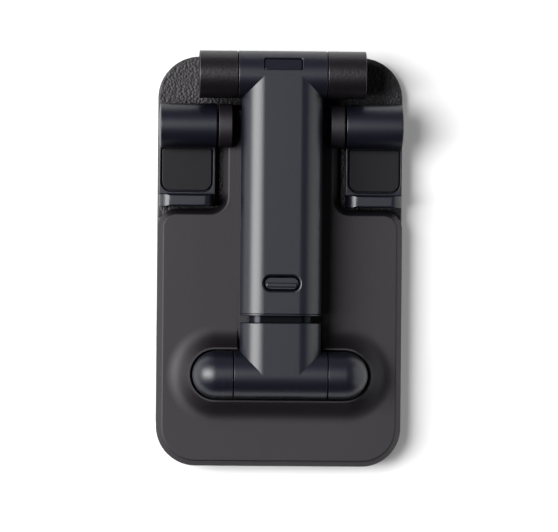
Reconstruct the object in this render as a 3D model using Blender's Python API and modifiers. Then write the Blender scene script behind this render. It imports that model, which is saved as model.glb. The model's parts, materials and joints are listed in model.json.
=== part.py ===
"""Folding telescopic phone stand, modelled folded flat.

A weighted base carries a friction hinge at its rear edge.  The arm lies on top of the phone plate,
telescopes towards the front, and ends in a second friction hinge on the back of the phone plate.
Two small hooks fold into notches in the plate's rear corners and hold the phone when they are out.

Metres, +Z up, +Y towards the base hinge, origin under the middle of the folded stand.
"""

import math

import bmesh
import bpy
from mathutils import Euler, Matrix, Vector

MM = 0.001

# Gaps between pieces
FIT = 0.3 * MM                     # between pieces that touch in the real stand
SEAM = 0.25 * MM                   # on each side of a visible joint line

# Base
BASE_WIDTH = 75.0 * MM
BASE_LENGTH = 124.3 * MM
BASE_CORNER = 12.7 * MM
BASE_TOP = 5.0 * MM                # height of its upper face
BASE_WALL = 1.8 * MM
BASE_SKIN = 1.2 * MM
BASE_EDGE = 0.6 * MM
GRIP_PAD_THICKNESS = 0.7 * MM
GRIP_PAD_INSET = 1.6 * MM
COVER_THICKNESS = 1.0 * MM

# Base hinge, an axis along X
BASE_HINGE_Y = 56.2 * MM
BASE_HINGE_SETBACK = 5.8 * MM      # from the axis to the base's rear edge
BARREL_RADIUS = 7.25 * MM
BARREL_LENGTH = 50.8 * MM          # over both ears
ARM_BARREL_LENGTH = 27.1 * MM      # the arm's part of it
BASE_PIN_RADIUS = 2.5 * MM
BASE_BUSH_RADIUS = 4.6 * MM
EAR_DEPTH = 11.6 * MM              # of the ear's foot, along Y
EAR_SETBACK = 0.4 * MM             # of the foot from the axis, towards the front
EAR_POCKET_RADIUS = 5.0 * MM       # for the pin's head and the nut
EAR_POCKET_DEPTH = 6.2 * MM
EAR_CAP_RADIUS = 5.8 * MM
EAR_CAP_THICKNESS = 1.1 * MM
EAR_CAP_INSET = 0.2 * MM           # from the ear's end

# Arm
ARM_WIDTH = 24.8 * MM
ARM_CORNER = BARREL_RADIUS - 0.2 * MM   # its sides are all but full rounds
ARM_GAP = 0.35 * MM                # between the arm and the phone plate
SLEEVE_LENGTH = 73.5 * MM          # from the base hinge's axis to its mouth
SLEEVE_BORE_WIDTH = 20.2 * MM
SLEEVE_WALL = 2.1 * MM             # above and below the bore
SLEEVE_BORE_HEIGHT = 2 * (BARREL_RADIUS - SLEEVE_WALL)
SLEEVE_BORE_STOP = 10.2 * MM       # from the base hinge's axis to the end of the bore
BORE_CORNER = SLEEVE_BORE_HEIGHT / 2 - 0.95 * MM
GUIDE_WALL = 0.8 * MM
GUIDE_FLANGE = 0.5 * MM
GUIDE_LENGTH = 5.2 * MM
SLIDE_GAP = 0.5 * MM               # between the inner tube and the sleeve's bore, all round
SLIDE_TRAVEL = 40.0 * MM
TUBE_WALL = 1.3 * MM
TUBE_BORE_CORNER = BORE_CORNER - 1.8 * MM
TUBE_INSERTION = 7.9 * MM          # of the tube in the arm's head
HEAD_GAP = 2.1 * MM                # between the sleeve's mouth and the head, folded

# Stop catch in the sleeve's window
WINDOW_LENGTH = 11.0 * MM
WINDOW_WIDTH = 4.3 * MM
WINDOW_FROM_MOUTH = 9.9 * MM
CATCH_TOOTH = 2.4 * MM
SLOT_WIDTH = 3.6 * MM

# Phone-plate hinge, an axis along X
HINGE_SPACING = 91.6 * MM          # between the two hinge axes, folded
HEAD_RADIUS = BARREL_RADIUS - 0.05 * MM
HEAD_LENGTH = 28.5 * MM            # the arm's part of the hinge
CAPSULE_LENGTH = 53.6 * MM         # over the domed caps
PLATE_PIN_RADIUS = 1.9 * MM
PLATE_BUSH_RADIUS = 4.3 * MM
LUG_RADIUS = 4.9 * MM
LUG_LENGTH = 4.8 * MM
LUG_NECK = 7.2 * MM

# Rectangular plugs in the two barrels
PLUG_HEIGHT = 3.9 * MM
PLUG_CORNER = 0.6 * MM
BARREL_PLUG_ANGLE = math.radians(27)    # from the top, positive towards +Y
BARREL_PLUG_WIDTH = 11.8 * MM
BARREL_PLUG_SEAT = 1.65 * MM       # depth of its seat
BARREL_PLUG_THICKNESS = 0.6 * MM
HEAD_PLUG_ANGLE = math.radians(-80)
HEAD_PLUG_WIDTH = 13.2 * MM
HEAD_PLUG_SEAT = 1.7 * MM
SEAT_REACH = 9.0 * MM              # how far from the axis the seats are cut

# Phone plate
PLATE_WIDTH = 75.0 * MM
PLATE_LENGTH = 110.55 * MM
PLATE_SETBACK = 9.1 * MM           # from the base hinge's axis to the plate's rear edge
PLATE_THICKNESS = 5.1 * MM
PLATE_CORNER = 12.0 * MM
STACK_GAP = 0.5 * MM               # between the base and the plate, folded
PLATE_WALL = 2.2 * MM
PLATE_SKIN = 1.4 * MM
PLATE_CHAMFER = 1.5 * MM
FRONT_PAD_THICKNESS = 0.6 * MM
FRONT_PANEL_THICKNESS = 1.1 * MM
TONGUE_WIDTH = 35.2 * MM           # between the two notches
TONGUE_CORNER = 2.5 * MM
NOTCH_DEPTH = 31.9 * MM
NOTCH_INNER_CORNER = 3.7 * MM
NOTCH_OUTER_CORNER = 5.8 * MM

# Flared collar round the phone-plate hinge
COLLAR_CLEARANCE = 0.65 * MM
COLLAR_RIM = 0.5 * MM
COLLAR_HEIGHT = 5.4 * MM
COLLAR_FLARE_RADIUS = 8.0 * MM

# Hooks
HOOK_HINGE_SETBACK = 15.5 * MM     # from the base hinge's axis to the hooks' axis
HOOK_RADIUS = 6.7 * MM
HOOK_WIDTH = 17.7 * MM             # of its barrel
HOOK_SHOULDER = 0.3 * MM           # from the barrel's outer end to the floor's
HOOK_REACH = 24.7 * MM             # from its axis to the lip's outer face
HOOK_THICKNESS = 3.5 * MM
HOOK_LIP_THICKNESS = 3.5 * MM
HOOK_LIP_HEIGHT = 9.0 * MM
HOOK_LIP_CORNER = 3.8 * MM
HOOK_KNUCKLE_LENGTH = 4.2 * MM     # the plate's part of the hook hinge
HOOK_KNUCKLE_OVERHANG = 1.7 * MM   # past the tongue's edge
HOOK_CROWN = 0.5 * MM
HOOK_PIN_RADIUS = 1.9 * MM
HOOK_PIN_LENGTH = 18.4 * MM
HOOK_SPRING_RADIUS = 4.2 * MM
HOOK_SPRING_ROOM = 4.9 * MM
HOOK_PAD_INNER_RIM = 1.3 * MM
HOOK_PAD_OUTER_RIM = 1.2 * MM
HOOK_PAD_FROM_LIP = 1.3 * MM
HOOK_PAD_DEPTH = 1.0 * MM
HOOK_PAD_PROUD = 0.3 * MM
HOOK_PAD_LENGTH = 12.8 * MM
HOOK_PAD_CORNER = 2.7 * MM

# Screws
SCREW_RADIUS = 0.8 * MM
SCREW_HEAD_RADIUS = 1.6 * MM
SCREW_HEAD_HEIGHT = 0.5 * MM
BOSS_RADIUS = 2.4 * MM

# Facets
ARC_STEPS = 4                      # per rounded corner
ROUND_STEPS = 24                   # per full turn
SMALL_ROUND_STEPS = 12
SCREW_STEPS = 8
COLLAR_ARC_STEPS = 6

# Heights and places that follow
PLATE_BOTTOM = BASE_TOP + STACK_GAP
PLATE_TOP = PLATE_BOTTOM + PLATE_THICKNESS
AXIS_Z = PLATE_TOP + ARM_GAP + BARREL_RADIUS
BASE_REAR_Y = BASE_HINGE_Y + BASE_HINGE_SETBACK
BASE_FRONT_Y = BASE_REAR_Y - BASE_LENGTH
PLATE_HINGE_Y = BASE_HINGE_Y - HINGE_SPACING
PLATE_REAR_Y = BASE_HINGE_Y - PLATE_SETBACK
PLATE_FRONT_Y = PLATE_REAR_Y - PLATE_LENGTH
NOTCH_Y = PLATE_REAR_Y - NOTCH_DEPTH
MOUTH_Y = BASE_HINGE_Y - SLEEVE_LENGTH
HEAD_Y = MOUTH_Y - HEAD_GAP
WINDOW_Y = MOUTH_Y + WINDOW_FROM_MOUTH
HOOK_Y = BASE_HINGE_Y - HOOK_HINGE_SETBACK
HOOK_Z = PLATE_BOTTOM + HOOK_RADIUS
KNUCKLE_OUTER_X = TONGUE_WIDTH / 2 + HOOK_KNUCKLE_OVERHANG
HOOK_INNER_X = KNUCKLE_OUTER_X + 2 * SEAM
LIP_Y = HOOK_Y - HOOK_REACH
TUBE_WIDTH = SLEEVE_BORE_WIDTH - 2 * SLIDE_GAP
TUBE_HEIGHT = SLEEVE_BORE_HEIGHT - 2 * SLIDE_GAP
TUBE_FRONT_Y = HEAD_Y - TUBE_INSERTION
TUBE_REAR_Y = BASE_HINGE_Y - SLEEVE_BORE_STOP - 4.0 * MM
EAR_INNER_X = ARM_BARREL_LENGTH / 2 + FIT
CAP_INNER_X = HEAD_LENGTH / 2 + SEAM

COLLECTION = bpy.data.collections.new("phone_stand")
CUTTERS = bpy.data.collections.new("phone_stand_cutters")


# ---------------------------------------------------------------- modelling helpers

def material(name, colour, roughness, metallic=0.0):
    shade = bpy.data.materials.new(name)
    shade.use_nodes = True
    shader = shade.node_tree.nodes["Principled BSDF"]
    shader.inputs["Base Color"].default_value = (*colour, 1.0)
    shader.inputs["Roughness"].default_value = roughness
    shader.inputs["Metallic"].default_value = metallic
    return shade


def body(name, location):
    """An empty on the body's joint axis, which its pieces are parented to."""
    empty = bpy.data.objects.new(name + "_axis", None)
    empty.location = location
    COLLECTION.objects.link(empty)
    return empty


def from_bmesh(name, mesh_data):
    """A new object in the cutters collection; finish() moves it if it is a piece of the stand."""
    bmesh.ops.recalc_face_normals(mesh_data, faces=mesh_data.faces)
    mesh = bpy.data.meshes.new(name)
    mesh_data.to_mesh(mesh)
    mesh_data.free()
    mesh.shade_smooth()
    mesh.set_sharp_from_angle(angle=math.radians(35))
    shape = bpy.data.objects.new(name, mesh)
    shape.hide_render = True
    shape.display_type = "WIRE"
    CUTTERS.objects.link(shape)
    return shape


def finish(shape, parent, shade):
    """Make a shape a piece of the stand: its collection, its body and its material."""
    CUTTERS.objects.unlink(shape)
    COLLECTION.objects.link(shape)
    shape.hide_render = False
    shape.display_type = "TEXTURED"
    shape.data.materials.append(shade)
    shape.parent = parent
    shape.matrix_parent_inverse = Matrix.Translation(-parent.location)
    return shape


def combine(shape, tool, operation):
    modifier = shape.modifiers.new(tool.name, "BOOLEAN")
    modifier.operation = operation
    modifier.object = tool


def cut(shape, *tools):
    for tool in tools:
        combine(shape, tool, "DIFFERENCE")


def join(shape, *tools):
    for tool in tools:
        combine(shape, tool, "UNION")


def box(name, low, high):
    low, high = Vector(low), Vector(high)
    mesh_data = bmesh.new()
    bmesh.ops.create_cube(mesh_data, size=1.0)
    bmesh.ops.scale(mesh_data, vec=high - low, verts=mesh_data.verts)
    shape = from_bmesh(name, mesh_data)
    shape.location = (low + high) / 2
    return shape


def cylinder(name, centre, radius, length, axis="X", steps=ROUND_STEPS, edge=0.0):
    """A cylinder along X, Y or Z about its centre, with bevelled rims if edge is given."""
    mesh_data = bmesh.new()
    bmesh.ops.create_cone(mesh_data, cap_ends=True, segments=steps, radius1=radius, radius2=radius,
                          depth=length)
    if edge:
        rims = [line for line in mesh_data.edges if abs(line.verts[0].co.z - line.verts[1].co.z) < 1e-6]
        bmesh.ops.bevel(mesh_data, geom=rims, offset=edge, segments=1, affect="EDGES")
    shape = from_bmesh(name, mesh_data)
    shape.location = centre
    shape.rotation_euler = {"X": (0, math.pi / 2, 0), "Y": (-math.pi / 2, 0, 0), "Z": (0, 0, 0)}[axis]
    return shape


def turned(name, centre, profile, steps=ROUND_STEPS, side=1):
    """Turn a profile of (radius, distance along X) points about X.

    The points run down the outer side, from the far end to the near end.  side -1 mirrors it in X.
    """
    mesh_data = bmesh.new()
    points = [mesh_data.verts.new((radius, 0.0, along)) for radius, along in profile]
    for start, end in zip(points, points[1:]):
        mesh_data.edges.new((start, end))
    mesh = bpy.data.meshes.new(name)
    mesh_data.to_mesh(mesh)
    mesh_data.free()
    shape = bpy.data.objects.new(name, mesh)
    shape.location = centre
    shape.rotation_euler = (0, side * math.pi / 2, 0)
    shape.hide_render = True
    shape.display_type = "WIRE"
    CUTTERS.objects.link(shape)
    screw = shape.modifiers.new("turn", "SCREW")
    screw.steps = screw.render_steps = steps
    screw.use_merge_vertices = True
    screw.merge_threshold = 0.01 * MM
    screw.use_smooth_shade = True
    return shape


def outline(corners, inset=0.0, steps=ARC_STEPS):
    """Points of a closed outline, counter-clockwise, through corners (u, v, radius), moved in by inset."""
    points = []
    for index, (u, v, radius) in enumerate(corners):
        corner = Vector((u, v))
        before = (corner - Vector(corners[index - 1][:2])).normalized()
        after = (Vector(corners[(index + 1) % len(corners)][:2]) - corner).normalized()
        inwards_before = Vector((-before.y, before.x))
        inwards_after = Vector((-after.y, after.x))
        share = 1 + inwards_before.dot(inwards_after)
        moved = corner + inset * (inwards_before + inwards_after) / share
        side = 1 if before.cross(after) > 0 else -1
        arc_radius = max(radius - side * inset, 0.05 * MM)
        turn = math.acos(max(-1.0, min(1.0, before.dot(after))))
        start = moved - before * arc_radius * math.tan(turn / 2)
        centre = start + inwards_before * arc_radius * side
        for step in range(steps + 1):
            spoke = (start - centre).copy()
            spoke.rotate(Matrix.Rotation(side * turn * step / steps, 2))
            point = centre + spoke
            if not points or (point - points[-1]).length > 0.01 * MM:
                points.append(point)
    if (points[0] - points[-1]).length < 0.01 * MM:
        points.pop()
    return points


def layered(name, corners, levels, axis="Z", steps=ARC_STEPS):
    """A solid whose outline is given at each level as (height, inset), lofted from one to the next.

    axis Z lays the outline in X and Y, axis Y in X and Z, and axis X in Y and Z.
    """
    place = {
        "Z": lambda u, v, height: (u, v, height),
        "Y": lambda u, v, height: (u, height, v),
        "X": lambda u, v, height: (height, u, v),
    }[axis]
    mesh_data = bmesh.new()
    rings = [
        [mesh_data.verts.new(place(point.x, point.y, height)) for point in outline(corners, inset, steps)]
        for height, inset in levels
    ]
    for lower, upper in zip(rings, rings[1:]):
        for index in range(len(lower)):
            after = (index + 1) % len(lower)
            mesh_data.faces.new((lower[index], lower[after], upper[after], upper[index]))
    mesh_data.faces.new(reversed(rings[0]))
    mesh_data.faces.new(rings[-1])
    return from_bmesh(name, mesh_data)


def rectangle(u0, u1, v0, v1, radius):
    return [(u0, v0, radius), (u1, v0, radius), (u1, v1, radius), (u0, v1, radius)]


def bar(name, width, height, corner, y0, y1, edge0=0.0, edge1=0.0):
    """A bar along Y about the hinge height, with rounded long edges and small end chamfers."""
    corners = rectangle(-width / 2, width / 2, AXIS_Z - height / 2, AXIS_Z + height / 2, corner)
    levels = [(y0, edge0), (y0 + edge0, 0.0), (y1 - edge1, 0.0), (y1, edge1)]
    levels = [level for index, level in enumerate(levels) if level not in levels[:index]]
    return layered(name, corners, levels, axis="Y")


def screw(name, place, length, parent, shade):
    """A small pan-head screw pointing up, its head at place."""
    profile = [
        (0.0, length), (SCREW_RADIUS, length), (SCREW_RADIUS, SCREW_HEAD_HEIGHT),
        (SCREW_HEAD_RADIUS, SCREW_HEAD_HEIGHT), (SCREW_HEAD_RADIUS, 0.0), (0.0, 0.0),
    ]
    shape = turned(name, place, profile, steps=SCREW_STEPS)
    shape.rotation_euler = (0, 0, 0)
    finish(shape, parent, shade)


def hinge_springs(name, hinge, outer, inner, parent, shade):
    """Three disc springs side by side round a hinge's pin."""
    thickness, spacing = 0.8 * MM, 3.0 * MM
    for index in range(3):
        start = (index - 1) * spacing - thickness / 2
        finish(bush(f"{name}_{index + 1}", hinge, outer, inner, start, start + thickness), parent, shade)


def bush(name, centre, outer, inner, start, end):
    profile = [(inner, start), (inner, end), (outer, end), (outer, start), (inner, start)]
    return turned(name, centre, profile, steps=SMALL_ROUND_STEPS)


def headed_pin(name, centre, radius, start, end, head_radius, head_length):
    """A pin along X from start to end, with a round head before start."""
    profile = [
        (0.0, end), (radius, end), (radius, start), (head_radius, start),
        (head_radius, start - head_length), (0.0, start - head_length),
    ]
    return turned(name, centre, profile, steps=SMALL_ROUND_STEPS)


def nut(name, centre, radius, bore, start, length):
    middle = (centre[0] + start + length / 2, centre[1], centre[2])
    shape = cylinder(name, middle, radius, length, steps=6)
    cut(shape, cylinder(name + "_bore", middle, bore, 3 * length, steps=SMALL_ROUND_STEPS))
    return shape


def barrel_recess(name, centre, angle, width, height, low, high):
    """A rectangular block set into a barrel at an angle from the top, positive towards +Y.

    low and high are its floor and its top, from the barrel's axis.
    """
    shape = layered(name, rectangle(-width / 2, width / 2, -height / 2, height / 2, PLUG_CORNER),
                    [(low, 0.0), (high, 0.0)], steps=3)
    shape.location = centre
    shape.rotation_euler = Euler((-angle, 0, 0))
    return shape


# ---------------------------------------------------------------- base

def base_outline():
    half = BASE_WIDTH / 2
    return rectangle(-half, half, BASE_FRONT_Y, BASE_REAR_Y, BASE_CORNER)


def base_screw_places():
    inset = 9.0 * MM
    x = BASE_WIDTH / 2 - inset
    return [(side * x, y) for side in (-1, 1) for y in (BASE_FRONT_Y + inset, BASE_REAR_Y - inset)]


def build_base(parent, shell_shade, rubber, steel):
    bottom = GRIP_PAD_THICKNESS + 0.1 * MM
    cover_low = bottom + 0.2 * MM
    cover_top = cover_low + COVER_THICKNESS
    ceiling = BASE_TOP - BASE_SKIN
    hinge = Vector((0, BASE_HINGE_Y, AXIS_Z))

    shell = layered("base_top_shell", base_outline(), [
        (bottom, 0.4 * MM), (bottom + 0.4 * MM, 0.0), (BASE_TOP - BASE_EDGE, 0.0),
        (BASE_TOP - 0.3 * BASE_EDGE, 0.3 * BASE_EDGE), (BASE_TOP, BASE_EDGE),
    ])
    cut(shell, layered("base_hollow", base_outline(),
                       [(bottom - 1 * MM, BASE_WALL), (ceiling, BASE_WALL)]))
    for index, (x, y) in enumerate(base_screw_places()):
        boss_low = cover_top + FIT
        boss_top = ceiling + BASE_SKIN / 2
        join(shell, cylinder(f"base_boss_{index}", (x, y, (boss_low + boss_top) / 2), BOSS_RADIUS,
                             boss_top - boss_low, axis="Z", steps=SCREW_STEPS))
        cut(shell, cylinder(f"base_boss_hole_{index}", (x, y, ceiling - 1 * MM), SCREW_RADIUS + FIT,
                            3 * MM, axis="Z", steps=SCREW_STEPS))

    ear_length = BARREL_LENGTH / 2 - EAR_INNER_X
    foot_front = BASE_HINGE_Y - EAR_DEPTH / 2 - EAR_SETBACK
    foot_rear = BASE_HINGE_Y + EAR_DEPTH / 2 - EAR_SETBACK
    cap_seat = EAR_CAP_INSET + EAR_CAP_THICKNESS + FIT
    overcut = 1 * MM
    foot_low = BASE_TOP - BASE_SKIN / 2
    for side, word in ((-1, "left"), (1, "right")):
        ear_x = side * (EAR_INNER_X + ear_length / 2)
        join(shell, box(f"base_ear_foot_{word}",
                        (ear_x - ear_length / 2 + 0.01 * MM, foot_front, foot_low),
                        (ear_x + ear_length / 2 - 0.4 * MM, foot_rear, AXIS_Z)))
        join(shell, cylinder(f"base_ear_{word}", (ear_x, hinge.y, hinge.z), BARREL_RADIUS, ear_length,
                             edge=0.4 * MM))
        cut(shell, cylinder(f"base_ear_bore_{word}", (ear_x, hinge.y, hinge.z), BASE_PIN_RADIUS + FIT,
                            2 * ear_length, steps=SMALL_ROUND_STEPS))
        cut(shell, cylinder(f"base_ear_pocket_{word}",
                            (side * (BARREL_LENGTH / 2 + (overcut - EAR_POCKET_DEPTH) / 2), hinge.y, hinge.z),
                            EAR_POCKET_RADIUS, EAR_POCKET_DEPTH + overcut))
        cut(shell, cylinder(f"base_ear_recess_{word}",
                            (side * (BARREL_LENGTH / 2 + (overcut - cap_seat) / 2), hinge.y, hinge.z),
                            EAR_CAP_RADIUS + FIT, cap_seat + overcut))
        cap = cylinder(f"base_hinge_cap_{word}",
                       (side * (BARREL_LENGTH / 2 - EAR_CAP_INSET - EAR_CAP_THICKNESS / 2), hinge.y,
                        hinge.z), EAR_CAP_RADIUS, EAR_CAP_THICKNESS, edge=0.25 * MM)
        finish(cap, parent, shell_shade)
    join(shell, box("base_ear_web", (-EAR_INNER_X - 1 * MM, foot_front + 0.3 * MM, foot_low),
                    (EAR_INNER_X + 1 * MM, foot_rear - 0.3 * MM, AXIS_Z - BARREL_RADIUS - 2 * FIT)))
    finish(shell, parent, shell_shade)

    cover = layered("base_bottom_cover", base_outline(),
                    [(cover_low, BASE_WALL + FIT), (cover_top, BASE_WALL + FIT)])
    weight = layered("base_weight", base_outline(),
                     [(cover_top + FIT, BASE_WALL + 2 * FIT), (ceiling - FIT, BASE_WALL + 2 * FIT)])
    head_top = cover_low + 0.1 * MM + SCREW_HEAD_HEIGHT
    for index, (x, y) in enumerate(base_screw_places()):
        cut(cover, cylinder(f"base_cover_hole_{index}", (x, y, cover_low), SCREW_RADIUS + FIT, 4 * MM,
                            axis="Z", steps=SCREW_STEPS))
        cut(cover, cylinder(f"base_cover_sink_{index}", (x, y, head_top + 0.1 * MM - 1 * MM),
                            SCREW_HEAD_RADIUS + FIT, 2 * MM, axis="Z", steps=SCREW_STEPS))
        cut(weight, cylinder(f"base_weight_hole_{index}", (x, y, ceiling), BOSS_RADIUS + FIT, 8 * MM,
                             axis="Z", steps=SCREW_STEPS))
    finish(cover, parent, shell_shade)
    finish(weight, parent, steel)
    for index, (x, y) in enumerate(base_screw_places()):
        screw(f"base_screw_{index + 1}", (x, y, cover_low + 0.1 * MM), 2.6 * MM, parent, steel)

    pad = layered("base_grip_pad", base_outline(), [
        (0.0, GRIP_PAD_INSET), (0.5 * GRIP_PAD_THICKNESS, GRIP_PAD_INSET - 0.2 * MM),
        (GRIP_PAD_THICKNESS, GRIP_PAD_INSET - 0.2 * MM),
    ])
    finish(pad, parent, rubber)

    head_start = BARREL_LENGTH / 2 - 6.0 * MM
    finish(headed_pin("base_hinge_pin", hinge, BASE_PIN_RADIUS, -head_start, head_start + 2.2 * MM,
                      4.2 * MM, 1.8 * MM), parent, steel)
    finish(nut("base_hinge_nut", hinge, 4.4 * MM, BASE_PIN_RADIUS + 0.2 * MM, head_start + 0.2 * MM,
               1.8 * MM), parent, steel)


# ---------------------------------------------------------------- lower arm: the sleeve

def build_lower_arm(parent, arm_shade, nylon, steel):
    hinge = Vector((0, BASE_HINGE_Y, AXIS_Z))
    height = 2 * BARREL_RADIUS
    sleeve_front = MOUTH_Y + GUIDE_FLANGE + 0.1 * MM

    sleeve = bar("arm_sleeve", ARM_WIDTH, height, ARM_CORNER, sleeve_front, BASE_HINGE_Y, edge0=0.1 * MM)
    join(sleeve, cylinder("sleeve_barrel", hinge, BARREL_RADIUS, ARM_BARREL_LENGTH, edge=0.3 * MM))
    cut(sleeve, bar("sleeve_bore", SLEEVE_BORE_WIDTH, SLEEVE_BORE_HEIGHT, BORE_CORNER,
                    MOUTH_Y - 1 * MM, BASE_HINGE_Y - SLEEVE_BORE_STOP))
    guide_outer = (SLEEVE_BORE_WIDTH + 2 * GUIDE_WALL - 2 * SLIDE_GAP + 2 * FIT,
                   SLEEVE_BORE_HEIGHT + 2 * GUIDE_WALL - 2 * SLIDE_GAP + 2 * FIT)
    cut(sleeve, bar("sleeve_mouth", guide_outer[0] + 2 * FIT, guide_outer[1] + 2 * FIT,
                    BORE_CORNER + FIT, MOUTH_Y - 1 * MM, MOUTH_Y + GUIDE_LENGTH + FIT))
    cut(sleeve, cylinder("sleeve_barrel_bore", hinge, BASE_BUSH_RADIUS + FIT, 2 * ARM_BARREL_LENGTH,
                         steps=SMALL_ROUND_STEPS))
    floor = BARREL_RADIUS - BARREL_PLUG_SEAT
    cut(sleeve, barrel_recess("sleeve_plug_seat", hinge, BARREL_PLUG_ANGLE, BARREL_PLUG_WIDTH, PLUG_HEIGHT,
                              floor, SEAT_REACH))
    window = rectangle(-WINDOW_LENGTH / 2, WINDOW_LENGTH / 2, WINDOW_Y - WINDOW_WIDTH / 2,
                       WINDOW_Y + WINDOW_WIDTH / 2, WINDOW_WIDTH / 2)
    arm_top = AXIS_Z + BARREL_RADIUS
    cut(sleeve, layered("sleeve_window", window,
                        [(AXIS_Z, 0.0), (arm_top - 0.6 * MM, 0.0), (arm_top + 0.2 * MM, -0.8 * MM)]))
    finish(sleeve, parent, arm_shade)

    plug = barrel_recess("barrel_plug", hinge, BARREL_PLUG_ANGLE, BARREL_PLUG_WIDTH - 2 * FIT,
                         PLUG_HEIGHT - 2 * FIT, floor + FIT, floor + FIT + BARREL_PLUG_THICKNESS)
    finish(plug, parent, arm_shade)

    guide = bar("sleeve_mouth_guide", guide_outer[0], guide_outer[1], BORE_CORNER, MOUTH_Y + 0.2 * MM,
                MOUTH_Y + GUIDE_LENGTH)
    join(guide, bar("guide_flange", ARM_WIDTH, height, ARM_CORNER, MOUTH_Y, MOUTH_Y + GUIDE_FLANGE,
                    edge0=0.2 * MM))
    cut(guide, bar("guide_bore", TUBE_WIDTH + 2 * FIT, TUBE_HEIGHT + 2 * FIT, BORE_CORNER - FIT,
                   MOUTH_Y - 1 * MM, MOUTH_Y + GUIDE_LENGTH + 1 * MM))
    finish(guide, parent, arm_shade)

    catch_z = AXIS_Z + SLEEVE_BORE_HEIGHT / 2 + 0.2 * MM
    catch = layered("stop_catch", window, [(catch_z, FIT), (catch_z + 0.8 * MM, FIT)])
    join(catch, box("catch_rib", (-4.7 * MM, WINDOW_Y - 1.2 * MM, catch_z + 0.5 * MM),
                    (4.7 * MM, WINDOW_Y + 0.2 * MM, catch_z + 1.2 * MM)))
    join(catch, box("catch_tooth", (-SLOT_WIDTH / 2 + 0.5 * MM, WINDOW_Y - CATCH_TOOTH / 2,
                                    catch_z - 1.6 * MM),
                    (SLOT_WIDTH / 2 - 0.5 * MM, WINDOW_Y + CATCH_TOOTH / 2, catch_z + 0.3 * MM)))
    finish(catch, parent, nylon)

    bush_end = ARM_BARREL_LENGTH / 2 - 0.2 * MM
    for side, word in ((-1, "left"), (1, "right")):
        start, end = sorted((side * 5.8 * MM, side * bush_end))
        finish(bush(f"base_hinge_bush_{word}", hinge, BASE_BUSH_RADIUS, BASE_PIN_RADIUS + FIT, start,
                    end), parent, steel)
    hinge_springs("base_hinge_spring", hinge, BASE_BUSH_RADIUS - FIT, BASE_PIN_RADIUS + FIT, parent,
                  steel)


# ---------------------------------------------------------------- upper arm: inner tube and head

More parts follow.
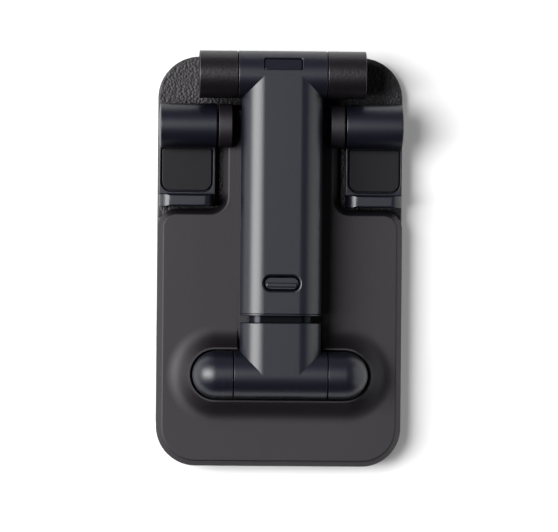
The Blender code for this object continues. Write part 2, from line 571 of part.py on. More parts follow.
def build_upper_arm(parent, arm_shade, nylon, aluminium, steel):
    hinge = Vector((0, PLATE_HINGE_Y, AXIS_Z))
    height = 2 * BARREL_RADIUS
    screw_places = [(side * 5.5 * MM, HEAD_Y - TUBE_INSERTION / 2) for side in (-1, 1)]
    arm_bottom = AXIS_Z - height / 2

    head = bar("arm_head", ARM_WIDTH, height, ARM_CORNER, PLATE_HINGE_Y, HEAD_Y, edge1=0.4 * MM)
    join(head, cylinder("head_barrel", hinge, HEAD_RADIUS, HEAD_LENGTH, edge=0.3 * MM))
    cut(head, bar("head_socket", TUBE_WIDTH + 2 * FIT, TUBE_HEIGHT + 2 * FIT, BORE_CORNER - FIT,
                  TUBE_FRONT_Y - FIT, HEAD_Y + 1 * MM))
    cut(head, cylinder("head_bore", hinge, PLATE_BUSH_RADIUS + FIT, 2 * HEAD_LENGTH,
                       steps=SMALL_ROUND_STEPS))
    floor = HEAD_RADIUS - HEAD_PLUG_SEAT
    cut(head, barrel_recess("head_plug_seat", hinge, HEAD_PLUG_ANGLE, HEAD_PLUG_WIDTH, PLUG_HEIGHT, floor,
                            SEAT_REACH))
    slot_front = WINDOW_Y - CATCH_TOOTH / 2 - 0.5 * MM
    slot_rear = WINDOW_Y + CATCH_TOOTH / 2 + SLIDE_TRAVEL + 1.0 * MM
    tube = bar("inner_tube", TUBE_WIDTH, TUBE_HEIGHT, BORE_CORNER - 2 * FIT, TUBE_FRONT_Y, TUBE_REAR_Y)
    cut(tube, bar("tube_bore", TUBE_WIDTH - 2 * TUBE_WALL, TUBE_HEIGHT - 2 * TUBE_WALL, TUBE_BORE_CORNER,
                  TUBE_FRONT_Y - 1 * MM, TUBE_REAR_Y + 1 * MM))
    cut(tube, layered("tube_slot", rectangle(-SLOT_WIDTH / 2, SLOT_WIDTH / 2, slot_front, slot_rear,
                                             SLOT_WIDTH / 4),
                      [(AXIS_Z, 0.0), (AXIS_Z + height / 2, 0.0)]))
    for index, (x, y) in enumerate(screw_places):
        for shape in (head, tube):
            cut(shape, cylinder(f"{shape.name}_screw_hole_{index}", (x, y, arm_bottom + 2 * MM),
                                SCREW_RADIUS + FIT, 6 * MM, axis="Z", steps=SCREW_STEPS))
        cut(head, cylinder(f"head_screw_sink_{index}", (x, y, arm_bottom), SCREW_HEAD_RADIUS + FIT,
                           2 * MM, axis="Z", steps=SCREW_STEPS))
    finish(head, parent, arm_shade)
    finish(tube, parent, aluminium)
    for index, (x, y) in enumerate(screw_places):
        screw(f"head_screw_{index + 1}", (x, y, arm_bottom + 0.2 * MM), 4.2 * MM, parent, steel)
    plug = barrel_recess("head_plug", hinge, HEAD_PLUG_ANGLE, HEAD_PLUG_WIDTH - 2 * FIT,
                         PLUG_HEIGHT - 2 * FIT, floor + FIT, HEAD_RADIUS - 0.15 * MM)
    finish(plug, parent, arm_shade)

    guide = bar("slide_end_guide", SLEEVE_BORE_WIDTH - 2 * FIT, SLEEVE_BORE_HEIGHT - 2 * FIT,
                BORE_CORNER - FIT, TUBE_REAR_Y + FIT, TUBE_REAR_Y + 3.2 * MM, edge1=0.4 * MM)
    join(guide, bar("end_guide_spigot", TUBE_WIDTH - 2 * TUBE_WALL - 2 * FIT,
                    TUBE_HEIGHT - 2 * TUBE_WALL - 2 * FIT, TUBE_BORE_CORNER - FIT, TUBE_REAR_Y - 4 * MM,
                    TUBE_REAR_Y + 1 * MM))
    finish(guide, parent, nylon)

    bush_end = HEAD_LENGTH / 2 - 0.2 * MM
    for side, word in ((-1, "left"), (1, "right")):
        start, end = sorted((side * 5.8 * MM, side * bush_end))
        finish(bush(f"plate_hinge_bush_{word}", hinge, PLATE_BUSH_RADIUS, PLATE_PIN_RADIUS + FIT, start,
                    end), parent, steel)
    hinge_springs("plate_hinge_spring", hinge, PLATE_BUSH_RADIUS - FIT, PLATE_PIN_RADIUS + FIT, parent,
                  steel)


# ---------------------------------------------------------------- phone plate

def plate_outline():
    half = PLATE_WIDTH / 2
    tongue = TONGUE_WIDTH / 2
    return [
        (-half, PLATE_FRONT_Y, PLATE_CORNER), (half, PLATE_FRONT_Y, PLATE_CORNER),
        (half, NOTCH_Y, NOTCH_OUTER_CORNER), (tongue, NOTCH_Y, NOTCH_INNER_CORNER),
        (tongue, PLATE_REAR_Y, TONGUE_CORNER), (-tongue, PLATE_REAR_Y, TONGUE_CORNER),
        (-tongue, NOTCH_Y, NOTCH_INNER_CORNER), (-half, NOTCH_Y, NOTCH_OUTER_CORNER),
    ]


def capsule_outline(offset):
    """The hinge capsule's plan, moved out by offset."""
    x = CAPSULE_LENGTH / 2 + offset
    y = HEAD_RADIUS + offset
    return rectangle(-x, x, PLATE_HINGE_Y - y, PLATE_HINGE_Y + y, y)


def collar_levels():
    """Height and inset of the flared collar: a concave quarter round up to the rim."""
    rim = COLLAR_CLEARANCE + COLLAR_RIM
    rise = COLLAR_FLARE_RADIUS - COLLAR_HEIGHT
    reach = math.sqrt(COLLAR_FLARE_RADIUS ** 2 - rise ** 2)
    foot = rim + reach
    top_angle = math.asin(rise / COLLAR_FLARE_RADIUS)
    steps = 5
    levels = [(PLATE_TOP - 0.4 * MM, -foot)]
    for step in range(1, steps + 1):
        angle = math.pi / 2 - (math.pi / 2 - top_angle) * step / steps
        out = foot - COLLAR_FLARE_RADIUS * math.cos(angle)
        height = COLLAR_FLARE_RADIUS - COLLAR_FLARE_RADIUS * math.sin(angle)
        levels.append((PLATE_TOP + height, -out))
    return levels


def build_plate(parent, shell_shade, arm_shade, rubber, steel):
    hinge = Vector((0, PLATE_HINGE_Y, AXIS_Z))
    bottom = PLATE_BOTTOM + FRONT_PAD_THICKNESS
    ceiling = PLATE_TOP - PLATE_SKIN
    screw_x = PLATE_WIDTH / 2 - 9.0 * MM
    screw_places = [(side * screw_x, y) for side in (-1, 1)
                    for y in (PLATE_FRONT_Y + 9.0 * MM, NOTCH_Y - 9.0 * MM)]
    screw_places.append((0.0, PLATE_REAR_Y - 9.0 * MM))
    panel_low = bottom + FIT
    panel_top = panel_low + FRONT_PANEL_THICKNESS

    shell = layered("plate_back_shell", plate_outline(), [
        (bottom, 0.3 * MM), (bottom + 0.3 * MM, 0.0), (PLATE_TOP - 2.3 * MM, 0.0),
        (PLATE_TOP - 0.25 * MM, PLATE_CHAMFER - 0.1 * MM), (PLATE_TOP, PLATE_CHAMFER + 0.25 * MM),
    ])
    cut(shell, layered("plate_hollow", plate_outline(),
                       [(bottom - 1 * MM, PLATE_WALL), (ceiling, PLATE_WALL)]))
    for index, (x, y) in enumerate(screw_places):
        boss_low = panel_top + FIT
        boss_top = ceiling + PLATE_SKIN / 2
        join(shell, cylinder(f"plate_boss_{index}", (x, y, (boss_low + boss_top) / 2), BOSS_RADIUS,
                             boss_top - boss_low, axis="Z", steps=SCREW_STEPS))
        cut(shell, cylinder(f"plate_boss_hole_{index}", (x, y, ceiling - 1 * MM), SCREW_RADIUS + FIT,
                            3.2 * MM, axis="Z", steps=SCREW_STEPS))

    join(shell, layered("plate_collar", capsule_outline(0.0), collar_levels(), steps=COLLAR_ARC_STEPS))
    cut(shell, layered("plate_collar_pocket", capsule_outline(0.0),
                       [(PLATE_TOP - 0.05 * MM, -COLLAR_CLEARANCE), (AXIS_Z + 9 * MM, -COLLAR_CLEARANCE)],
                       steps=COLLAR_ARC_STEPS))
    slot = ARM_WIDTH / 2 + 0.6 * MM
    cut(shell, box("plate_arm_slot", (-slot, PLATE_HINGE_Y, PLATE_TOP - 0.05 * MM),
                   (slot, PLATE_HINGE_Y + 25 * MM, AXIS_Z + 9 * MM)))

    lug_start = CAP_INNER_X + 0.1 * MM
    for side, word in ((-1, "left"), (1, "right")):
        lug_x = side * (lug_start + LUG_LENGTH / 2)
        join(shell, cylinder(f"plate_lug_{word}", (lug_x, hinge.y, hinge.z), LUG_RADIUS, LUG_LENGTH,
                             steps=ROUND_STEPS))
        join(shell, box(f"plate_lug_neck_{word}",
                        (lug_x - LUG_LENGTH / 2 + 0.01 * MM, hinge.y - LUG_NECK / 2, ceiling + 0.5 * MM),
                        (lug_x + LUG_LENGTH / 2 - 0.01 * MM, hinge.y + LUG_NECK / 2, hinge.z - 1 * MM)))
        cut(shell, cylinder(f"plate_lug_bore_{word}", (lug_x, hinge.y, hinge.z), PLATE_PIN_RADIUS + FIT,
                            2 * LUG_LENGTH, steps=SMALL_ROUND_STEPS))
        knuckle_x = side * (KNUCKLE_OUTER_X - HOOK_KNUCKLE_LENGTH / 2)
        join(shell, cylinder(f"plate_knuckle_{word}", (knuckle_x, HOOK_Y, HOOK_Z), HOOK_RADIUS,
                             HOOK_KNUCKLE_LENGTH, edge=0.3 * MM))
        cut(shell, cylinder(f"plate_knuckle_bore_{word}", (knuckle_x, HOOK_Y, HOOK_Z),
                            HOOK_PIN_RADIUS + FIT, 2 * HOOK_KNUCKLE_LENGTH, steps=SMALL_ROUND_STEPS))
    finish(shell, parent, shell_shade)

    panel = layered("plate_front_panel", plate_outline(),
                    [(panel_low, PLATE_WALL + FIT), (panel_top, PLATE_WALL + FIT)])
    head_top = panel_low + 0.1 * MM + SCREW_HEAD_HEIGHT
    for index, (x, y) in enumerate(screw_places):
        cut(panel, cylinder(f"panel_hole_{index}", (x, y, panel_low), SCREW_RADIUS + FIT, 4 * MM,
                            axis="Z", steps=SCREW_STEPS))
        cut(panel, cylinder(f"panel_sink_{index}", (x, y, head_top + 0.1 * MM - 1 * MM),
                            SCREW_HEAD_RADIUS + FIT, 2 * MM, axis="Z", steps=SCREW_STEPS))
    for side, word in ((-1, "left"), (1, "right")):
        reach = HOOK_RADIUS + FIT
        knuckle_x = side * (KNUCKLE_OUTER_X - HOOK_KNUCKLE_LENGTH / 2)
        cut(panel, box(f"panel_knuckle_gap_{word}",
                       (knuckle_x - HOOK_KNUCKLE_LENGTH / 2 - FIT, HOOK_Y - reach, panel_low - 1 * MM),
                       (knuckle_x + HOOK_KNUCKLE_LENGTH / 2 + 3 * MM * side, HOOK_Y + reach,
                        panel_top + 1 * MM)))
    finish(panel, parent, shell_shade)
    for index, (x, y) in enumerate(screw_places):
        screw(f"plate_screw_{index + 1}", (x, y, panel_low + 0.1 * MM), 2.7 * MM, parent, steel)

    half = PLATE_WIDTH / 2
    front_pad = rectangle(-half, half, PLATE_FRONT_Y, NOTCH_Y, NOTCH_OUTER_CORNER)
    front_pad[0] = (-half, PLATE_FRONT_Y, PLATE_CORNER)
    front_pad[1] = (half, PLATE_FRONT_Y, PLATE_CORNER)
    finish(layered("plate_front_pad", front_pad, [
        (PLATE_BOTTOM, 3.0 * MM), (PLATE_BOTTOM + 0.3 * MM, 2.8 * MM),
        (PLATE_BOTTOM + FRONT_PAD_THICKNESS - 0.1 * MM, 2.8 * MM),
    ]), parent, rubber)

    for side, word in ((-1, "left"), (1, "right")):
        dome_steps = 5
        dome_x = CAPSULE_LENGTH / 2 - HEAD_RADIUS
        profile = [(HEAD_RADIUS * math.sin(math.pi / 2 * step / dome_steps),
                    dome_x + HEAD_RADIUS * math.cos(math.pi / 2 * step / dome_steps))
                   for step in range(dome_steps + 1)]
        profile += [(HEAD_RADIUS, CAP_INNER_X + 0.2 * MM), (HEAD_RADIUS - 0.2 * MM, CAP_INNER_X),
                    (0.0, CAP_INNER_X)]
        cap = turned(f"plate_hinge_cap_{word}", hinge, profile, side=side)
        hollow_end = lug_start + LUG_LENGTH + 2.6 * MM
        cut(cap, cylinder(f"cap_hollow_{word}",
                          (side * (hollow_end + CAP_INNER_X - 1 * MM) / 2, hinge.y, hinge.z),
                          LUG_RADIUS + FIT, hollow_end - CAP_INNER_X + 1 * MM, steps=ROUND_STEPS))
        near, far = sorted((side * (CAP_INNER_X - 1 * MM), side * (lug_start + LUG_LENGTH + FIT)))
        cut(cap, box(f"cap_neck_gap_{word}", (near, hinge.y - LUG_NECK / 2 - FIT, hinge.z - 9 * MM),
                     (far, hinge.y + LUG_NECK / 2 + FIT, hinge.z)))
        finish(cap, parent, arm_shade)

    pin_start = lug_start + LUG_LENGTH + 0.2 * MM
    finish(headed_pin("plate_hinge_pin", hinge, PLATE_PIN_RADIUS, -pin_start, pin_start + 2.0 * MM,
                      3.4 * MM, 1.6 * MM), parent, steel)
    finish(nut("plate_hinge_nut", hinge, 3.6 * MM, PLATE_PIN_RADIUS + 0.2 * MM, pin_start + 0.1 * MM,
               1.6 * MM), parent, steel)


# ---------------------------------------------------------------- hooks

def build_hook(parent, side, word, arm_shade, rubber, steel):
    """A hook: its barrel, its floor with an inlaid pad, and its lip.  side is -1 on the left."""
    def span(inner, outer):
        return sorted((side * inner, side * outer))

    axis = Vector((0, HOOK_Y, HOOK_Z))
    outer_x = HOOK_INNER_X + HOOK_WIDTH
    x0, x1 = span(HOOK_INNER_X + 0.15 * MM, outer_x - HOOK_SHOULDER)
    floor_top = PLATE_BOTTOM + HOOK_THICKNESS
    lip_top = PLATE_BOTTOM + HOOK_LIP_HEIGHT

    section = [
        (LIP_Y, PLATE_BOTTOM, 0.6 * MM), (HOOK_Y, PLATE_BOTTOM, 0.05 * MM), (HOOK_Y, floor_top, 0.05 * MM),
        (LIP_Y + HOOK_LIP_THICKNESS, floor_top, 0.5 * MM),
        (LIP_Y + HOOK_LIP_THICKNESS, lip_top, 0.6 * MM), (LIP_Y, lip_top, 0.6 * MM),
    ]
    hook = layered(f"hook_{word}", section, [(x0, 0.0), (x1, 0.0)], axis="X", steps=3)
    front_view = [(x0, PLATE_BOTTOM - 0.01 * MM, 0.4 * MM), (x1, PLATE_BOTTOM - 0.01 * MM, 0.4 * MM),
                  (x1, lip_top + 0.01 * MM, HOOK_LIP_CORNER), (x0, lip_top + 0.01 * MM, HOOK_LIP_CORNER)]
    combine(hook, layered(f"hook_front_view_{word}", front_view,
                          [(LIP_Y - 1 * MM, 0.0), (HOOK_Y + 1 * MM, 0.0)], axis="Y"), "INTERSECT")
    px0, px1 = span(HOOK_INNER_X + HOOK_PAD_INNER_RIM, outer_x - HOOK_PAD_OUTER_RIM)
    pad_front = LIP_Y + HOOK_LIP_THICKNESS + HOOK_PAD_FROM_LIP
    pad_rear = pad_front + HOOK_PAD_LENGTH
    pad_outline = [(px0, pad_front, HOOK_PAD_CORNER), (px1, pad_front, HOOK_PAD_CORNER),
                   (px1, pad_rear, 0.6 * MM), (px0, pad_rear, 0.6 * MM)]
    cut(hook, layered(f"hook_pad_seat_{word}", pad_outline,
                      [(floor_top - HOOK_PAD_DEPTH, -FIT), (floor_top + 2 * MM, -FIT)], steps=4))

    crown_steps = 3
    crown = [(HOOK_RADIUS * step / crown_steps,
              outer_x - HOOK_CROWN * (step / crown_steps) ** 2) for step in range(crown_steps)]
    barrel = crown + [
        (HOOK_RADIUS - 0.2 * MM, outer_x - HOOK_CROWN), (HOOK_RADIUS, outer_x - HOOK_CROWN - 0.3 * MM),
        (HOOK_RADIUS, HOOK_INNER_X + 0.2 * MM), (HOOK_RADIUS - 0.2 * MM, HOOK_INNER_X), (0.0, HOOK_INNER_X),
    ]
    join(hook, turned(f"hook_barrel_{word}", axis, barrel, side=side))
    pin_start = KNUCKLE_OUTER_X - HOOK_KNUCKLE_LENGTH + 0.2 * MM
    pin_end = pin_start + HOOK_PIN_LENGTH
    bore = [
        (0.0, pin_end + FIT), (HOOK_PIN_RADIUS + FIT, pin_end + FIT),
        (HOOK_PIN_RADIUS + FIT, HOOK_INNER_X + HOOK_SPRING_ROOM),
        (HOOK_SPRING_RADIUS + FIT, HOOK_INNER_X + HOOK_SPRING_ROOM),
        (HOOK_SPRING_RADIUS + FIT, HOOK_INNER_X - 1 * MM), (0.0, HOOK_INNER_X - 1 * MM),
    ]
    cut(hook, turned(f"hook_bore_{word}", axis, bore, steps=SMALL_ROUND_STEPS, side=side))
    finish(hook, parent, arm_shade)

    pad_top = floor_top + HOOK_PAD_PROUD
    finish(layered(f"hook_pad_{word}", pad_outline, [
        (floor_top - HOOK_PAD_DEPTH + FIT, 0.0), (pad_top - 0.25 * MM, 0.0), (pad_top, 0.25 * MM),
    ], steps=4), parent, rubber)

    finish(cylinder(f"hook_pin_{word}", (side * (pin_start + pin_end) / 2, axis.y, axis.z),
                    HOOK_PIN_RADIUS, pin_end - pin_start, steps=SMALL_ROUND_STEPS, edge=0.2 * MM),
           parent, steel)
    spring_start, spring_end = span(HOOK_INNER_X + FIT, HOOK_INNER_X + HOOK_SPRING_ROOM - FIT)
    finish(bush(f"hook_spring_{word}", (0, axis.y, axis.z), HOOK_SPRING_RADIUS, HOOK_PIN_RADIUS + FIT,
                spring_start, spring_end), parent, steel)


# ---------------------------------------------------------------- the stand

def main():
    for leftover in list(bpy.data.objects):
        bpy.data.objects.remove(leftover)
    bpy.context.scene.collection.children.link(COLLECTION)
    bpy.context.scene.collection.children.link(CUTTERS)

    base_shade = material("grained_abs_black", (0.040, 0.036, 0.037), 0.6)
    plate_shade = material("matte_abs_black", (0.045, 0.041, 0.042), 0.55)
    arm_shade = material("satin_abs_blue_black", (0.036, 0.040, 0.048), 0.42)
    rubber = material("silicone_black", (0.030, 0.031, 0.034), 0.7)
    nylon = material("nylon_black", (0.050, 0.052, 0.056), 0.5)
    aluminium = material("anodised_aluminium_black", (0.050, 0.052, 0.058), 0.35, 0.9)
    steel = material("zinc_plated_steel", (0.55, 0.55, 0.56), 0.35, 1.0)

    base = body("base", Vector((0, 0, 0)))
    lower_arm = body("lower_arm", Vector((0, BASE_HINGE_Y, AXIS_Z)))
    upper_arm = body("upper_arm", Vector((0, HEAD_Y, AXIS_Z)))
    plate = body("phone_plate", Vector((0, PLATE_HINGE_Y, AXIS_Z)))
    build_base(base, base_shade, rubber, steel)
    build_lower_arm(lower_arm, arm_shade, nylon, steel)
    build_upper_arm(upper_arm, arm_shade, nylon, aluminium, steel)
    build_plate(plate, plate_shade, arm_shade, rubber, steel)
    for side, word in ((-1, "left"), (1, "right")):
        hook_axis = body(f"hook_{word}", Vector((side * HOOK_INNER_X, HOOK_Y, HOOK_Z)))
        build_hook(hook_axis, side, word, arm_shade, rubber, steel)
    bpy.context.view_layer.update()


main()
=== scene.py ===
"""The looks of a folding telescopic phone stand: fine shells, finishes, floor, light and camera.

Metres, +Z up, +Y towards the base hinge.  The stand lies folded flat, the phone plate between the base
and the arm.  What shows when it is folded is modelled again here with finer edges, on its CAD body.
"""

import json
import math

import bmesh
import bpy
from mathutils import Euler, Matrix, Vector


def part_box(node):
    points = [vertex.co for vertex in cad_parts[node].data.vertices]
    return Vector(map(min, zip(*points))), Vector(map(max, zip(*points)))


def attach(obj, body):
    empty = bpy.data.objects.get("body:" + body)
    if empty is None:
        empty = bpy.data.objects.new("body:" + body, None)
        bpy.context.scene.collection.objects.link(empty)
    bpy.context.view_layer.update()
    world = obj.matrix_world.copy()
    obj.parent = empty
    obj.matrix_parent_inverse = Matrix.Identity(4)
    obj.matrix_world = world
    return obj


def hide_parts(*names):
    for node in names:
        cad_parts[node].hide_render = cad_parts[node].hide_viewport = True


MM = 0.001

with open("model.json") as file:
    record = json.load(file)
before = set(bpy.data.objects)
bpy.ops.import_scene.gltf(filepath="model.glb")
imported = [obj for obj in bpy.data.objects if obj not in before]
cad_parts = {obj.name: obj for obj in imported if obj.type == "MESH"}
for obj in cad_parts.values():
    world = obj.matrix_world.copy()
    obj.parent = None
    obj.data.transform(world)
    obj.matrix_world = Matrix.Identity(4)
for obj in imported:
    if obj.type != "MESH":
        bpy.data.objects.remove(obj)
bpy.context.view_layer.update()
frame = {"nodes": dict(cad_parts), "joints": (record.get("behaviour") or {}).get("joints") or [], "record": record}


# ---------------------------------------------------------------- sizes, some taken from the frame, the others given

def low(node):
    return Vector(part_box(node)[0])


def high(node):
    return Vector(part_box(node)[1])


def joint_place(name):
    joint = next(joint for joint in frame["joints"] if joint["name"] == name)
    return Vector(joint["pos_m"])


BASE_HINGE = joint_place("base_hinge")
PLATE_HINGE = joint_place("plate_hinge")
HOOK_HINGE = joint_place("hook_right_hinge")

GRIP_PAD_TOP = high("base_grip_pad").z
BASE_LOW = low("base_top_shell")
BASE_REAR = high("base_bottom_cover").y + 2.1 * MM
BASE_TOP = 5.0 * MM
BASE_CORNER = 12.7 * MM
BASE_WALL = 1.8 * MM
BASE_SKIN = 1.2 * MM
BASE_EDGE = 0.6 * MM
BASE_LOWER_EDGE = 0.4 * MM
EAR_END = 25.4 * MM
EAR_GAP = 0.15 * MM
EAR_EDGE = 0.25 * MM
EAR_FOOT_DEPTH = 11.6 * MM
EAR_FOOT_SETBACK = 0.4 * MM
EAR_CAP_RADIUS = high("base_hinge_cap_left").z - BASE_HINGE.z
EAR_CAP_INSET, EAR_CAP_THICKNESS = 1.3 * MM, 1.1 * MM
EAR_POCKET_RADIUS, EAR_BUSH_RADIUS, EAR_PIN_RADIUS = 6.1 * MM, 5.0 * MM, 2.8 * MM
EAR_BUSH_SEAT = 5.95 * MM

BARREL_RADIUS = high("arm_sleeve").z - BASE_HINGE.z
ARM_BARREL_END = high("arm_sleeve").x
ARM_WIDTH = high("sleeve_mouth_guide").x - low("sleeve_mouth_guide").x
ARM_CORNER = 7.2 * MM
ARM_TOP = high("arm_sleeve").z
SLEEVE_FRONT = low("arm_sleeve").y
MOUTH = low("sleeve_mouth_guide").y
GUIDE_FLANGE = 0.5 * MM
GUIDE_END = high("sleeve_mouth_guide").y
TUBE_WIDTH = high("inner_tube").x - low("inner_tube").x
TUBE_HEIGHT = high("inner_tube").z - low("inner_tube").z
TUBE_CORNER = 3.6 * MM
BORE_WIDTH, BORE_HEIGHT, BORE_CORNER = 20.2 * MM, 10.3 * MM, 4.2 * MM
BORE_STOP = 10.2 * MM
MOUTH_STEP = 1.8 * MM
TUBE_WALL = 1.3 * MM
TUBE_BORE_CORNER = 2.4 * MM
TUBE_SLOT_WIDTH, TUBE_SLOT_FRONT, TUBE_SLOT_REAR = 3.6 * MM, 1.7 * MM, 42.2 * MM
SLEEVE_BUSH_RADIUS = 4.9 * MM
SLEEVE_BARREL_EDGE = 0.3 * MM
WINDOW_LENGTH, WINDOW_WIDTH = 11.0 * MM, 4.3 * MM
WINDOW_Y = (low("stop_catch").y + high("stop_catch").y) / 2
PLUG_ANGLE = math.radians(27)
PLUG_LENGTH, PLUG_HEIGHT, PLUG_FLOOR = 11.8 * MM, 3.9 * MM, 5.6 * MM
CATCH_DROP = 1.6 * MM
RIB_LENGTH, RIB_FRONT, RIB_REAR = 9.4 * MM, 1.2 * MM, 0.2 * MM
TOOTH_WIDTH, TOOTH_LENGTH = 2.6 * MM, 2.4 * MM

HEAD_REAR = high("arm_head").y
HEAD_RADIUS = high("plate_hinge_cap_left").z - PLATE_HINGE.z
HEAD_END = high("arm_head").x
CAP_INNER = low("plate_hinge_cap_right").x
CAP_END = high("plate_hinge_cap_right").x
HEAD_PLUG_ANGLE = math.radians(-80)
HEAD_PLUG_LENGTH, HEAD_PLUG_FLOOR = 13.2 * MM, 5.5 * MM
HEAD_BUSH_RADIUS = 4.6 * MM
HINGE_SEAM_EDGE = 0.15 * MM
SCREW_RADIUS, SCREW_HEAD_RADIUS = 1.1 * MM, 1.9 * MM

PLATE_LOW, PLATE_HIGH = low("plate_back_shell"), high("plate_back_shell")
PLATE_TOP = 10.6 * MM
PLATE_BOTTOM = PLATE_LOW.z
PLATE_REAR = high("plate_front_panel").y + 2.5 * MM
PLATE_CORNER = 12.0 * MM
PLATE_WALL = 2.2 * MM
PLATE_SKIN = 1.4 * MM
CHAMFER_WIDTH, CHAMFER_DROP = 1.4 * MM, 2.3 * MM
TONGUE_WIDTH = 35.2 * MM
TONGUE_CORNER = 2.5 * MM
NOTCH_Y = PLATE_REAR - 31.9 * MM
NOTCH_INNER_CORNER, NOTCH_OUTER_CORNER = 3.7 * MM, 5.8 * MM
COLLAR_CLEARANCE, COLLAR_RIM = 0.5 * MM, 0.7 * MM
COLLAR_HEIGHT, COLLAR_REACH = 5.4 * MM, 7.5 * MM
KNUCKLE_LENGTH, KNUCKLE_OUTER = 4.2 * MM, 19.3 * MM
KNUCKLE_EDGE = 0.35 * MM
LUG_RADIUS, LUG_LENGTH, LUG_NECK = 4.9 * MM, 4.8 * MM, 7.2 * MM
HINGE_PIN_WAY = 2.2 * MM
FRONT_PAD_MARGIN = 2.8 * MM

HOOK_LOW, HOOK_HIGH = low("hook_right"), high("hook_right")
HOOK_RADIUS = HOOK_HIGH.z - HOOK_HINGE.z
HOOK_SHOULDER = 0.3 * MM
HOOK_FLOOR = HOOK_LOW.z + 3.5 * MM
LIP_THICKNESS, LIP_HEIGHT, LIP_CORNER = 3.5 * MM, 9.0 * MM, 3.8 * MM
PAD_CORNER = 2.7 * MM
HOOK_CROWN, HOOK_INNER_EDGE = 0.5 * MM, 0.3 * MM
HOOK_SPRING_WAY = 4.5 * MM

FIT = 0.3 * MM
SUNK = 0.02 * MM
ARC_STEPS = 14
ROUND_STEPS = 96
FILLET_STEPS = 4
MITRE_CREASE = 5


# ---------------------------------------------------------------- shape helpers

def keep(name, mesh_data):
    bmesh.ops.recalc_face_normals(mesh_data, faces=mesh_data.faces)
    mesh = bpy.data.meshes.new(name)
    mesh_data.to_mesh(mesh)
    mesh_data.free()
    shape = bpy.data.objects.new(name, mesh)
    bpy.context.scene.collection.objects.link(shape)
    return shape


def outline(corners, inset=0.0, steps=ARC_STEPS):
    """Points of a closed outline, counter-clockwise, through corners (u, v, radius), moved in by inset."""
    points = []
    for index, (u, v, radius) in enumerate(corners):
        corner = Vector((u, v))
        before = (corner - Vector(corners[index - 1][:2])).normalized()
        after = (Vector(corners[(index + 1) % len(corners)][:2]) - corner).normalized()
        inwards_before = Vector((-before.y, before.x))
        inwards_after = Vector((-after.y, after.x))
        share = 1 + inwards_before.dot(inwards_after)
        moved = corner + inset * (inwards_before + inwards_after) / share
        side = 1 if before.cross(after) > 0 else -1
        arc_radius = max(radius - side * inset, 0.04 * MM)
        turn = math.acos(max(-1.0, min(1.0, before.dot(after))))
        start = moved - before * arc_radius * math.tan(turn / 2)
        centre = start + inwards_before * arc_radius * side
        for step in range(steps + 1):
            spoke = (start - centre).copy()
            spoke.rotate(Matrix.Rotation(side * turn * step / steps, 2))
            points.append(centre + spoke)
    return points


def layered(name, corners, levels, axis="Z", steps=ARC_STEPS):
    """A solid lofted through its outline at each (height, inset) level, along Z, Y or X."""
    place = {
        "Z": lambda u, v, height: (u, v, height),
        "Y": lambda u, v, height: (u, height, v),
        "X": lambda u, v, height: (height, u, v),
    }[axis]
    mesh_data = bmesh.new()
    rings = [
        [mesh_data.verts.new(place(point.x, point.y, height)) for point in outline(corners, inset, steps)]
        for height, inset in levels
    ]
    for lower, upper in zip(rings, rings[1:]):
        for index in range(len(lower)):
            after = (index + 1) % len(lower)
            mesh_data.faces.new((lower[index], lower[after], upper[after], upper[index]))
    mesh_data.faces.new(reversed(rings[0]))
    mesh_data.faces.new(rings[-1])
    bmesh.ops.remove_doubles(mesh_data, verts=mesh_data.verts, dist=0.002 * MM)
    return keep(name, mesh_data)


def rounded(start, end, start_radius, end_radius, steps=FILLET_STEPS):
    """Levels of a slab whose first and last edges are rounded over."""
    levels = []
    for step in range(steps + 1):
        angle = math.pi / 2 * step / steps
        levels.append((start + start_radius * (1 - math.cos(angle)), start_radius * (1 - math.sin(angle))))
    for step in range(steps, -1, -1):
        angle = math.pi / 2 * step / steps
        levels.append((end - end_radius * (1 - math.cos(angle)), end_radius * (1 - math.sin(angle))))
    return levels


def rectangle(u0, u1, v0, v1, radius):
    return [(u0, v0, radius), (u1, v0, radius), (u1, v1, radius), (u0, v1, radius)]


def bar(name, width, height, corner, start, end, start_edge=0.0, end_edge=0.0):
    """A bar along Y at the height of the hinge axes."""
    z = BASE_HINGE.z
    corners = rectangle(-width / 2, width / 2, z - height / 2, z + height / 2, corner)
    if start_edge or end_edge:
        levels = rounded(start, end, start_edge, end_edge)
    else:
        levels = [(start, 0.0), (end, 0.0)]
    return layered(name, corners, levels, axis="Y", steps=24)


def block(name, corner_a, corner_b, radius=0.0):
    """A box, its upright edges rounded if a radius is given."""
    (x0, y0, z0), (x1, y1, z1) = corner_a, corner_b
    corners = rectangle(min(x0, x1), max(x0, x1), min(y0, y1), max(y0, y1), max(radius, 0.05 * MM))
    return layered(name, corners, [(min(z0, z1), 0.0), (max(z0, z1), 0.0)], steps=6 if radius else 1)


def turned(name, centre, profile, side=1, upright=False, steps=ROUND_STEPS):
    """A profile of (radius, distance) points turned about X, or about Z if upright; side -1 mirrors it."""
    mesh_data = bmesh.new()
    rings = []
    for radius, along in profile:
        if radius < 0.001 * MM:
            rings.append([mesh_data.verts.new((0.0, 0.0, along))])
            continue
        rings.append([
            mesh_data.verts.new((radius * math.cos(2 * math.pi * (step + 0.5) / steps),
                                 radius * math.sin(2 * math.pi * (step + 0.5) / steps), along))
            for step in range(steps)
        ])
    for first, second in zip(rings, rings[1:]):
        for index in range(steps):
            after = (index + 1) % steps
            corners = [first[index % len(first)], first[after % len(first)],
                       second[after % len(second)], second[index % len(second)]]
            unique = list(dict.fromkeys(corners))
            mesh_data.faces.new(unique)
    shape = keep(name, mesh_data)
    turn = Matrix.Identity(4) if upright else Matrix.Rotation(side * math.pi / 2, 4, "Y")
    shape.data.transform(Matrix.Translation(centre) @ turn)
    return shape


